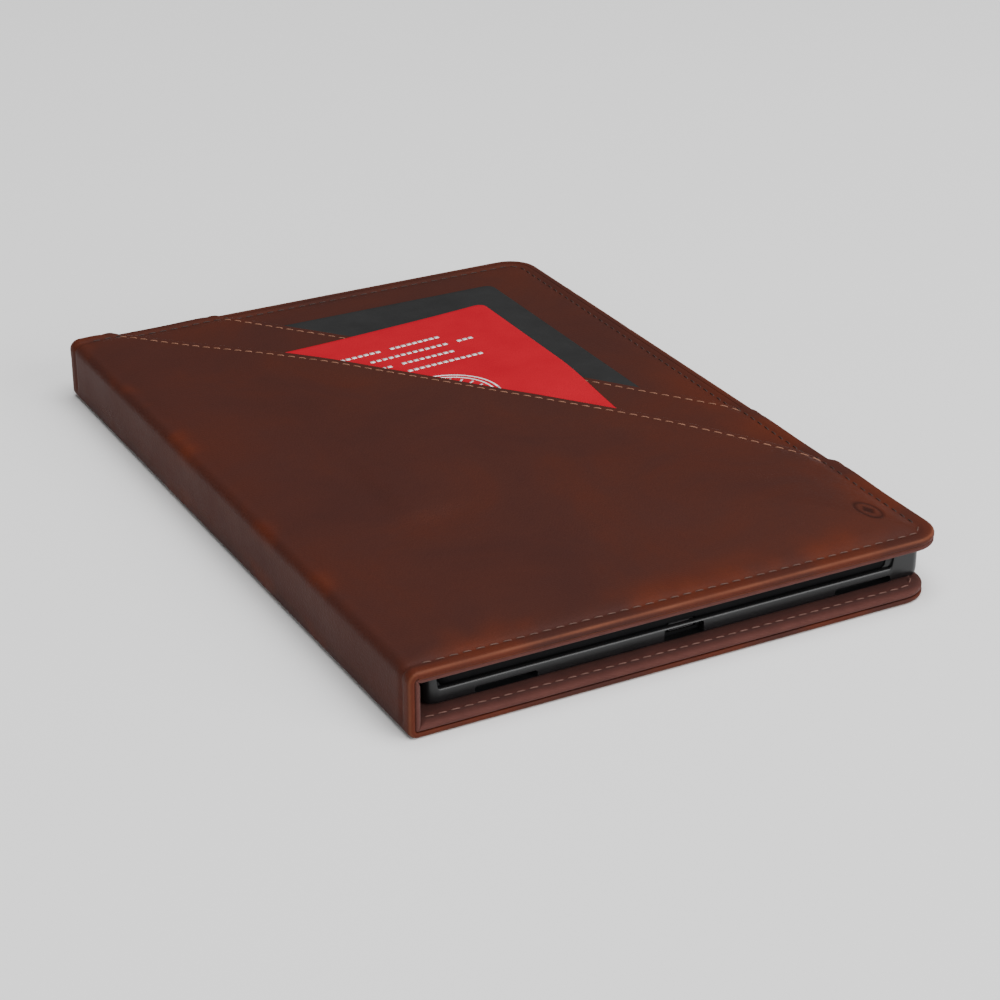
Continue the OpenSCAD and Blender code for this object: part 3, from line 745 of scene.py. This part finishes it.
def lining_rows(z0, z1):
    """Rows of a lining pad from z0 to z1, with a full round edge."""
    flat = [80, 55, 30, 15, 6, 2.4]
    side = [(1.5, 0.02), (0.85, 0.14), (0.42, 0.36), (0.17, 0.64), (0.1, 0.5 * (z1 - z0))]
    rows = [(inset, z0) for inset in flat] + [(inset, z0 + rise) for inset, rise in side]
    rows += [(inset, z1 - rise) for inset, rise in reversed(side[:-1])]
    return rows + [(inset, z1) for inset in reversed(flat)]


front_lining = pillow("front_cover_lining",
                      lambda z: (PAD_X - MITRE_LAP + LINING_TOP - z, WIDTH, 0.0, LENGTH), (0.6, COVER_R),
                      lining_rows(FRONT_Z - 0.05, LINING_TOP), "front_cover", "lining_suede", LINING)
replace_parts(front_lining, "front_lining")


def lining_seam(x, y, z):
    """Draws the back cover's lining down along its stitching."""
    d = min(y, LENGTH - y, BACK_WIDTH - x)
    return z - (0.25 * bell(d - LINING_STITCH, 0.6) if z > BACK_T - 0.5 else 0)


back_rows = lining_rows(LINING_BASE, BACK_T)
seam_rows = [(inset, BACK_T) for inset in (2.4, 2.8, 3.1, 3.5, 3.9, 4.3)]
back_lining = pillow("back_cover_lining",
                     lambda z: (PAD_X - MITRE_LAP + max(z - LINING_BASE, 0), BACK_WIDTH, 0.0, LENGTH),
                     (0.6, COVER_R), back_rows[:-6] + seam_rows + back_rows[-5:],
                     "base", "lining_suede", LINING, lining_seam)
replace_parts(back_lining, "back_lining")

spine_rows = [(6, 0), (3, 0), (1.3, 0), (0.7, 0.05), (0.28, 0.25), (0.07, 0.52), (0.02, 0.78), (0.07, 1.04),
              (0.28, 1.4), (0.7, 1.75), (1.3, SPINE_PAD_T), (3, SPINE_PAD_T), (6, SPINE_PAD_T)]
half_lap = MITRE_LAP / 2
spine_lining = pillow("spine_lining_pad",
                      lambda w: (LINING_BASE - half_lap + w, LINING_TOP + half_lap - w, 0.0, LENGTH),
                      (0.4, 0.4), spine_rows, "spine", "lining_suede", LINING,
                      counts=(8, 60, 6), lay=lambda u, v, w: (PAD_X + w, v, u))
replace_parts(spine_lining, "spine_lining")


def gusset(name, radius, level, up):
    """Thin lining glued inside the leather, which joins the spine's lining to a cover's across the fold."""
    rows, depth, end_gap, drop = 40, LEATHER_T + 0.08, 1.2, 9.0
    columns = fold_columns(radius, drop)[1:]
    points = [fold_over(x, end_gap + (LENGTH - 2 * end_gap) * k / rows, -depth, radius, level, up)
              for k in range(rows + 1) for x in columns]
    faces = grid_faces(rows + 1, len(columns), closed=False)
    if up < 0:
        faces = [face[::-1] for face in faces]
    piece = make_piece(name, points, faces, None, "lining_suede", LINING)
    modify(piece, "SOLIDIFY", thickness=GUSSET_T * MM, offset=-1.0)
    return piece


lower_gusset = gusset("lower_fold_lining", BOTTOM_FOLD_R, 0.0, -1)
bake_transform(lower_gusset)
upper_gusset = gusset("upper_fold_lining", TOP_FOLD_R, HEIGHT, 1)
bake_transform(upper_gusset)

foam_low, foam_high = cad_box("front_foam")
FOAM_Z = foam_low[2] + 0.02


def foam_shape(x, y, share):
    """Foam crowned to fill the cover under its first layer of leather."""
    return FOAM_Z + share * (HEIGHT + base_rise(x, y) - LEATHER_T - 0.12 - FOAM_Z)


foam_rows = [(74, 0), (40, 0), (15, 0), (3, 0), (0.4, 0.1), (0, 0.4), (0.5, 0.8), (2.5, 1), (8, 1), (16, 1),
             (26, 1), (38, 1), (50, 1), (62, 1), (74, 1)]
foam_pad = pillow("cover_foam_pad", lambda z: (foam_low[0], foam_high[0], foam_low[1], foam_high[1]), (8, 8),
                  foam_rows, "front_cover", "foam_grey", FOAM, foam_shape)
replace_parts(foam_pad, "front_foam")


# ---- Stitches ----

def stitch_row(path, surface, slant):
    """One stitch per pitch along a path, each turned by slant degrees."""
    made = []
    lengths = [math.dist(a, b) for a, b in zip(path, path[1:])]
    total = sum(lengths)
    count = int(total / STITCH_PITCH)
    for k in range(count):
        along = (k + 0.5) * total / count
        for (ax, ay), (bx, by), length in zip(path, path[1:], lengths):
            if along <= length:
                break
            along -= length
        t = along / length
        x, y = ax + (bx - ax) * t, ay + (by - ay) * t
        jitter = 0.05 * noise.noise(Vector((x * 0.9, y * 0.9, 3.0)))
        made.append(stitch(x, y, math.atan2(by - ay, bx - ax) + math.radians(slant) + jitter, surface))
    return made


def stitch(x, y, angle, surface):
    """Points and faces of a twisted length of thread that dips into the surface at its ends."""
    sides, rings = 8, 9
    thickness, proud, dip, flat = 0.27, 0.13, 0.32, 0.72
    c, s = math.cos(angle), math.sin(angle)
    points = []
    for i in range(rings):
        t = i / (rings - 1) * 2 - 1
        radius = thickness * math.sqrt(max(1 - t ** 4, 0.02)) * (1 + 0.08 * math.cos(i * 2.6))
        px, py = x + c * t * STITCH_LENGTH / 2, y + s * t * STITCH_LENGTH / 2
        pz = surface(px, py) + proud - dip * t ** 4
        for k in range(sides):
            a = 2 * math.pi * k / sides + i * 0.35
            side, up = radius * math.cos(a), flat * radius * math.sin(a)
            points.append((px - s * side, py + c * side, pz + up))
    ends = [tuple(reversed(range(sides))), tuple((rings - 1) * sides + k for k in range(sides))]
    return points, grid_faces(rings, sides) + ends


def stitches(name, rows, body, material):
    """All the stitches along rows of (path, surface, slant), as one piece."""
    made = [part for row in rows for part in stitch_row(*row)]
    return make_piece(name, *join(made), body, "thread_tan", material)


def edge_path(width, inset, start, end):
    """Points round a cover from x = start on its near edge, by its fore edge, to x = end on its far one."""
    r = COVER_R - inset
    x = width - inset - r
    near, far = arc_points(x, inset + r, r, -90, 7, 15), arc_points(x, LENGTH - inset - r, r, 0, 7, 15)
    return [(start, inset)] + near + far + [(end, LENGTH - inset)]


def cover_top(x, y):
    """Height of whichever layer of leather is uppermost."""
    if behind(FRONT_EDGE, x, y) > 0:
        return HEIGHT + front_rise(x, y)
    if behind(REAR_EDGE, x, y) > 0:
        return HEIGHT + rear_rise(x, y)
    return HEIGHT + base_rise(x, y)


def hem_path(edge, cut_far, cut_fore):
    """The stitch line along a pocket's edge, stopping short of the cover's far and fore edges."""
    ux, uy = direction(edge)
    (ax, ay), (bx, by) = ((x + uy * HEM_STITCH, y - ux * HEM_STITCH) for x, y in edge)
    return [(ax + ux * cut_far, ay + uy * cut_far), (bx - ux * cut_fore, by - uy * cut_fore)]


cover_edge = edge_path(WIDTH, EDGE_STITCH, 5.5, 6.0)
NEAR_POINTS = 7  # points of the path up to the fore edge
EDGE_SLANT, HEM_SLANT = -5, 7
near_stitches = stitches("near_edge_stitches", [(cover_edge[:NEAR_POINTS], cover_top, EDGE_SLANT)],
                         "front_cover", DULL_THREAD)
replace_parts(near_stitches, "cover_edge_thread")
# The fore and far edges' stitches: the same thread as the near edge's, painted darker as shade.
stitches("far_edge_stitches", [(cover_edge[NEAR_POINTS:], cover_top, EDGE_SLANT)],
         "front_cover", PAINTED_SHADE_THREAD)
pocket_stitches = stitches(
    "pocket_edge_stitches",
    [(hem_path(REAR_EDGE, 5.0, 4.0), lambda x, y: HEIGHT + rear_rise(x, y), HEM_SLANT),
     (hem_path(FRONT_EDGE, 5.0, 4.0), lambda x, y: HEIGHT + front_rise(x, y), HEM_SLANT)],
    "front_cover", TAN_THREAD)
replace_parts(pocket_stitches, "pocket_thread")
back_stitches = stitches(
    "back_edge_stitches",
    [(edge_path(BACK_WIDTH, LINING_STITCH, 5.5, 5.5), lambda x, y: lining_seam(x, y, BACK_T), EDGE_SLANT)],
    "base", ROSY_THREAD)
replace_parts(back_stitches, "back_edge_thread")


# ---- Card and booklet ----

def sheet_rows(thickness, roundness, insets):
    """Rows of a thin slab with rounded edges, its base at z = 0."""
    r, t = roundness, thickness
    under = [(i, 0.0) for i in reversed(insets)] + [(r, 0.0), (0.3 * r, 0.3 * r), (0.0, r)]
    return under + [(0.0, t - r), (0.3 * r, t - 0.3 * r), (r, t)] + [(i, t) for i in insets]


SLAB_INSETS = [1.5, 4, 8, 12, 16, 20, 24, 28, 32, 36, 40, 42.5]
SLAB_COUNTS = (30, 42, 6)  # points across, along and round a corner
card_low, card_high = cad_box("document_card")
PAPER_W, PAPER_L = card_high[0] - card_low[0], card_high[1] - card_low[1]


def on_base(x, y, z):
    """The card rests on the cover's own leather, level over its waves."""
    return HEIGHT + base_rise(x, y) - base_waves(x, y) + 0.1 + z


card = pillow("black_document_card", lambda z: (card_low[0], card_high[0], card_low[1], card_high[1]),
              (3, 3), sheet_rows(0.38, 0.12, SLAB_INSETS), "card", "card_black", CARD, on_base, SLAB_COUNTS)
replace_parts(card, "document_card")

BOOKLET_TURN = math.radians(-0.2)
BOOKLET_SHIFT = (-2.0, -1.3)  # from its CAD solid's low corner
booklet_low = cad_box("booklet_cover")[0]
BOOKLET_X = booklet_low[0] + BOOKLET_SHIFT[0]
BOOKLET_Y = booklet_low[1] + BOOKLET_SHIFT[1] - PAPER_W * math.sin(BOOKLET_TURN)
FOLD_T = 0.55  # thickness of the closed booklet at its fold
BOARD_T = 0.28


def turned(u, v):
    """A point of the booklet, u from its fold and v from its near end, to its place on the folio."""
    c, s = math.cos(BOOKLET_TURN), math.sin(BOOKLET_TURN)
    return BOOKLET_X + u * c - v * s, BOOKLET_Y + u * s + v * c


def booklet_base(u, v):
    """The booklet's underside: on the rear pocket's leather at its fold, raised towards its far corner."""
    return HEIGHT + 0.3 + 0.42 * smooth(10, 60, u) * smooth(0, 60, v)


def booklet_lift(u, v):
    """How far the upper board stands off the lower one, opening away from the fold."""
    across = min(max(u / PAPER_W, 0.0), 1.0)
    bulge = 0.8 * math.sin(math.pi * across) * smooth(25, 60, v) * (1 - smooth(70, 118, v))
    return FOLD_T + 3.1 * across ** 2 * smooth(30, 72, v) + bulge


def booklet_top(u, v):
    return booklet_base(u, v) + booklet_lift(u, v)


def booklet_board(name, underside):
    """One board of the booklet's cover, over its underside."""
    across, along, arc = SLAB_COUNTS
    rings = []
    for i, z in sheet_rows(BOARD_T, BOARD_T * 0.4, SLAB_INSETS):
        ring = round_ring(0, PAPER_W, 0, PAPER_L, (3, 3), i, along, across, arc)
        rings.append([(*turned(u, v), underside(u, v) + z) for u, v in ring])
    return make_piece(name, *loft(rings, across, along, arc), "booklet", "booklet_red", BOOKCLOTH)


upper_board = booklet_board("booklet_upper_board", lambda u, v: booklet_top(u, v) - BOARD_T)
booklet_board("booklet_lower_board", booklet_base)
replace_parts(upper_board, "booklet_cover")


def booklet_spine():
    """The folded cloth down the booklet's bound edge."""
    rows, arc, end_gap, cloth_t, lap, centre_u = 42, 8, 3.0, 0.25, 0.02, 0.45
    points = []
    for k in range(rows + 1):
        v = end_gap + (PAPER_L - 2 * end_gap) * k / rows
        low, high = booklet_base(0.3, v) + lap, booklet_top(0.3, v) - lap
        mid, r = (low + high) / 2, (high - low) / 2
        outer = arc_points(centre_u, mid, r, 90, arc + 1, 180 / arc)
        inner = arc_points(centre_u, mid, r - cloth_t, 90, arc + 1, 180 / arc)
        points += [(*turned(u, v), z) for u, z in outer + inner[::-1]]
    n = 2 * (arc + 1)
    faces = [(k * n + i, (k + 1) * n + i, (k + 1) * n + (i + 1) % n, k * n + (i + 1) % n)
             for k in range(rows) for i in range(n)]
    faces += [tuple(range(n)), tuple(rows * n + i for i in reversed(range(n)))]
    return make_piece("booklet_spine", points, faces, "booklet", "booklet_red", BOOKCLOTH)


def booklet_leaves():
    """Blocks of leaves that fan out towards the fore edge, every second one a little narrower."""
    across, along, arc = SLAB_COUNTS
    parts, blocks = [], 5
    for b in range(blocks):
        rings = []
        fore = PAPER_W - 0.7 - 0.12 * (b % 2)
        for i, z in sheet_rows(1.0, 0.2, SLAB_INSETS[:-1]):
            line = []
            for u, v in round_ring(0.9, fore, 0.6, PAPER_L - 0.6, (2.5, 2.5), i, along, across, arc):
                room = max(booklet_lift(u, v) - 0.62, 0.05)
                low = booklet_base(u, v) + 0.3 + room * b / blocks
                line.append((*turned(u, v), low + z * room / blocks * 0.9))
            rings.append(line)
        parts.append(loft(rings, across, along, arc))
    return make_piece("booklet_leaves", *join(parts), "booklet", "pages_white", PAPER)


booklet_spine()
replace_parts(booklet_leaves(), "booklet_pages")


def foil_strip(line, width):
    """A thin flat strip along points on the booklet's upper board."""
    points, faces = [], []
    for k, (u, v) in enumerate(line):
        a, b = line[max(k - 1, 0)], line[min(k + 1, len(line) - 1)]
        angle = math.atan2(b[1] - a[1], b[0] - a[0]) + math.pi / 2
        for side in (-0.5, 0.5):
            pu, pv = u + side * width * math.cos(angle), v + side * width * math.sin(angle)
            points += [(*turned(pu, pv), booklet_top(pu, pv) + z) for z in (-0.02, 0.025)]
    for a in range(0, 4 * len(line) - 4, 4):
        b = a + 4
        faces += [(a + 1, b + 1, b + 3, a + 3), (a, a + 2, b + 2, b),
                  (a, b, b + 1, a + 1), (a + 2, a + 3, b + 3, b + 2)]
    end = 4 * (len(line) - 1)
    return points, faces + [(0, 1, 3, 2), (end, end + 2, end + 3, end + 1)]


# Rows of blocks, as (v, the stretches of u from the booklet's middle that they fill)
FOIL_ROWS = ((109, ((-22, -1), (2, 20))), (102.5, ((-32, -11), (-8, 20), (23, 29))),
             (96, ((-18, -3), (0, 19))), (89.5, ((-27, -4), (-1, 26))))
BLOCK_PITCH, BLOCK = 2.1, 1.5
ROSETTE_V, RINGS, RAYS = 64, (17.5, 15.8, 7.0), 24


def foil_marks():
    """Rows of plain blocks and a round rosette on the booklet's upper board."""
    strips = []
    middle = PAPER_W / 2
    for v, stretches in FOIL_ROWS:
        for a, b in stretches:
            blocks = round((b - a) / BLOCK_PITCH)
            for k in range(blocks):
                low = middle + a + (b - a) * k / blocks
                strips.append(foil_strip([(low, v), (low + BLOCK / 2, v), (low + BLOCK, v)], BLOCK))
    for radius in RINGS:
        strips.append(foil_strip(arc_points(middle, ROSETTE_V, radius, 0, 49, 7.5), 0.6))
    for k in range(RAYS):
        a = 2 * math.pi * k / RAYS
        ray = [(middle + r * math.cos(a), ROSETTE_V + r * math.sin(a)) for r in (8.2, 10, 12, 14.6)]
        strips.append(foil_strip(ray, 0.7))
    return make_piece("booklet_foil_marks", *join(strips), "booklet", "booklet_red", FOIL)


foil_marks()


# ---- Holder shell ----

shell_low, shell_high = cad_box("holder_shell")
SHELL_Z, SHELL_TOP = shell_low[2], shell_high[2]
SHELL_BOX = (shell_low[0], shell_high[0], shell_low[1], shell_high[1])
LOW_WALL = 9.0
FLOOR_Z = SHELL_Z + 1.1


def corner_share(x, y):
    """1 on the shell's tall corners, which are longer on the fore edge, and 0 on its low walls."""
    x0, x1, y0, y1 = SHELL_BOX
    near_y = min(y - y0, y1 - y)
    sides = max(1 - smooth(2.6, 3.9, x - x0), 1 - smooth(8.6, 10.2, x1 - x))
    return sides * (1 - smooth(25, 27, near_y))


# The shell's wall, as (inset on a low wall, on a tall corner, corner radius, share of the wall's height)
SHELL_WALL = [(40, 40, 3, 0), (12, 12, 3, 0), (3, 3, 3, 0), (1.3, 1.3, 3, 0), (0.55, 0.55, 3, 0.03),
              (0.15, 0.15, 3, 0.1), (0, 0, 3, 0.22), (0, 0, 3, 0.5), (0, 0, 3, 0.75),
              (0.05, 0.05, 3, 0.83), (0.22, 0.22, 3, 0.915), (0.5, 0.5, 3.2, 0.97),
              (0.85, 0.85, 3.6, 0.995), (1.15, 1.5, 4.2, 1.0), (1.38, 2.3, 5.2, 0.985),
              (1.5, 2.7, 6.4, 0.955), (1.52, 2.75, 7.2, 0.93), (1.53, 2.6, 7.4, 0.91),
              (1.55, 1.6, 7.5, 0.89)]
RIM_HEIGHT = 4.5  # the height that shares above RIM_SHARE are of
RIM_SHARE = 0.8
# The shell's inner wall and floor, as (inset, height over the floor)
SHELL_FLOOR = ((1.6, 0.5), (1.75, 0.12), (2.3, 0), (12, 0), (40, 0))
INNER_R = 7.5
# Openings in the near wall, as (middle, width, height of its base, its own height, corner radius)
SPEAKER_Z, SPEAKER_H = SHELL_Z + 0.35, 2.1
SLOTS = ((31.8, 19, SPEAKER_Z, SPEAKER_H, SPEAKER_H / 2), (145.3, 19, SPEAKER_Z, SPEAKER_H, SPEAKER_H / 2),
         (86.5, 12.5, SHELL_Z + 0.45, LOW_WALL - SHELL_Z - 1.15, 0.5))
SHELL_COUNTS = (220, 240, 12)  # points across, along and round a corner


def shell_ring(inset, radius):
    """A ring of the shell: its corners tighten round the rim, and are small in the middle of its floor."""
    across, along, arc = SHELL_COUNTS
    x0, x1, y0, y1 = SHELL_BOX
    radius = max(radius - (inset if inset < 1.2 else 0), 1.0) if inset < 30 else 1.0
    x0, x1, y0, y1 = x0 + inset, x1 - inset, y0 + inset, y1 - inset
    return round_ring(x0, x1, y0, y1, (radius, radius), 0, along, across, arc)


def holder_shell():
    """A tray with low walls and tall corners, whose rims lean in over the reader."""
    rings = []
    for low_inset, corner_inset, radius, share in SHELL_WALL:
        line = []
        for (ax, ay), (bx, by) in zip(shell_ring(low_inset, radius), shell_ring(corner_inset, radius)):
            w = corner_share(ax, ay)
            top = LOW_WALL + (SHELL_TOP - LOW_WALL) * w
            z = SHELL_Z + share * (top - SHELL_Z)
            if share > RIM_SHARE:
                z = top - (1 - share) * RIM_HEIGHT
            line.append((ax + (bx - ax) * w, ay + (by - ay) * w, z))
        rings.append(line)
    for inset, rise in SHELL_FLOOR:
        rings.append([(x, y, FLOOR_Z + rise) for x, y in shell_ring(inset, INNER_R)])
    across, along, arc = SHELL_COUNTS
    piece = make_piece("clip_in_shell", *loft(rings, across, along, arc), "base", "shell_black", SHELL)
    for slot in SLOTS:
        cut_slot(piece, *slot)
    piece.data.shade_smooth()
    piece.data.set_sharp_from_angle(angle=math.radians(38))
    return piece


def cut_slot(piece, x, w, z, h, r):
    """Cuts a slot with rounded corners through the near wall."""
    right, left = x + w / 2 - r, x - w / 2 + r
    corners = ((right, z + r, -90), (right, z + h - r, 0), (left, z + h - r, 90), (left, z + r, 180))
    outline = [point for cx, cz, start in corners for point in arc_points(cx, cz, r, start, 7, 15)]
    count, wall = len(outline), SHELL_BOX[2]
    mesh = bpy.data.meshes.new("cutter")
    faces = [(k, (k + 1) % count, count + (k + 1) % count, count + k) for k in range(count)]
    faces += [tuple(reversed(range(count))), tuple(range(count, 2 * count))]
    mesh.from_pydata(place([(px, y, pz) for y in (wall - 2, wall + 3.2) for px, pz in outline]), [], faces)
    bm = bmesh.new()
    bm.from_mesh(mesh)
    bmesh.ops.recalc_face_normals(bm, faces=bm.faces)
    bm.to_mesh(mesh)
    bm.free()
    cutter = bpy.data.objects.new("cutter", mesh)
    bpy.context.scene.collection.objects.link(cutter)
    modify(piece, "BOOLEAN", object=cutter, operation="DIFFERENCE", solver="EXACT")
    bpy.data.objects.remove(cutter)


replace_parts(holder_shell(), "holder_shell")


# ---- Reader ----

BOARD = plastic("circuit_board", (0.012, 0.085, 0.045), (0.02, 0.12, 0.06), 0.4, 0.08)
CHIP = plastic("moulded_chip", (0.02, 0.02, 0.02), (0.035, 0.035, 0.035), 0.6, 0.08)
RIBBON = plastic("amber_film", (0.32, 0.11, 0.02), (0.42, 0.16, 0.03), 0.35, 0.06)
GREYBOARD = plastic("grey_board", (0.22, 0.21, 0.19), (0.32, 0.31, 0.28), 0.85, 0.05, 0.0001)
STEEL = metal("plated_steel", (0.62, 0.61, 0.6), 0.32)
MAGNESIUM = metal("cast_magnesium", (0.42, 0.42, 0.43), 0.5)
POUCH = metal("battery_pouch", (0.55, 0.55, 0.57), 0.45)
for nodes, material in (
        (("main_board", "port_board"), BOARD),
        (("board_chips", "hall_sensor", "left_speaker", "right_speaker"), CHIP),
        (("display_flex", "link_flex", "antenna", "key_board", "button_board", "light_strip"), RIBBON),
        (("back_board", "spine_board", "front_board"), GREYBOARD), (("shell_adhesive",), FOAM),
        (("cover_magnets", "frame_screws", "shield_cans"), STEEL), (("mid_frame",), MAGNESIUM),
        # The port's steel is painted near black as the shade inside the shell's window.
        (("usb_port",), metal("port_steel_painted_shade", (0.10, 0.10, 0.105), 0.4)),
        (("battery",), POUCH), (("rear_housing", "front_bezel"), HOUSING_PAINTED_SHADE),
        (("page_back_key", "page_forward_key", "power_button"), KEYS),
        (("cover_lens",), clear_glass("etched_lens", (0.96, 0.97, 0.97), 0.18)),
        (("touch_panel",), clear_glass("touch_film", (0.96, 0.97, 0.97), 0.05)),
        (("light_guide",), clear_glass("light_guide_acrylic", (0.97, 0.98, 0.98), 0.05)),
        (("epaper_panel",), screen_paper())):
    for node in nodes:
        for material_slot in bpy.data.objects[node].material_slots:
            material_slot.material = material


# ---- Stage ----

def stage():
    """A pale floor and a dim white world."""
    mesh = bpy.data.meshes.new("floor")
    half = 3.0
    corners = [(-half, -half, 0), (half, -half, 0), (half, half, 0), (-half, half, 0)]
    mesh.from_pydata(corners, [], [(0, 1, 2, 3)])
    s = Shader("pale_floor", 0.7, Specular_IOR_Level=0.2)
    s.colour(s.ramp(s.noise(3, 2), [(0.3, (0.86, 0.86, 0.86)), (0.7, (0.88, 0.88, 0.88))]))
    mesh.materials.append(s.material)
    floor = bpy.data.objects.new("floor", mesh)
    bpy.context.scene.collection.objects.link(floor)
    world = bpy.data.worlds.new("studio")
    world.use_nodes = True
    background = world.node_tree.nodes["Background"]
    background.inputs["Color"].default_value = (1.0, 1.0, 1.0, 1)
    background.inputs["Strength"].default_value = 0.1
    bpy.context.scene.world = world


def softbox(name, where, size, power):
    """A white soft light aimed at the folio."""
    data = bpy.data.lights.new(name, "AREA")
    data.shape = "RECTANGLE"
    data.size, data.size_y = size
    data.energy = power
    light = bpy.data.objects.new(name, data)
    light.location = where
    light.rotation_euler = (-Vector(where)).to_track_quat("-Z", "Y").to_euler()
    light.visible_camera = False
    bpy.context.scene.collection.objects.link(light)


EYE = (-255.95, -525.84, 355.31)  # millimetres from the spine and near edge
EYE_DOWN, EYE_RIGHT = 26.10, 28.22  # degrees below level, and right of the spine's line
LENS, SENSOR = 95.72, 36.0


def camera():
    """The view from the near left, a little above the folio."""
    data = bpy.data.cameras.new("camera")
    data.lens = LENS
    data.sensor_width = SENSOR
    eye = bpy.data.objects.new("camera", data)
    eye.location = place([EYE])[0]
    eye.rotation_euler = Euler((math.radians(90 - EYE_DOWN), 0, math.radians(-EYE_RIGHT)))
    bpy.context.scene.collection.objects.link(eye)
    bpy.context.scene.camera = eye


stage()
softbox("overhead", (0.3, -0.4, 2.4), (2.4, 2.4), 98)
softbox("front_left", (-2.0, -1.6, 1.3), (1.2, 1.2), 14)
softbox("front_right", (1.7, -3.3, 1.4), (3.0, 2.0), 125)
camera()
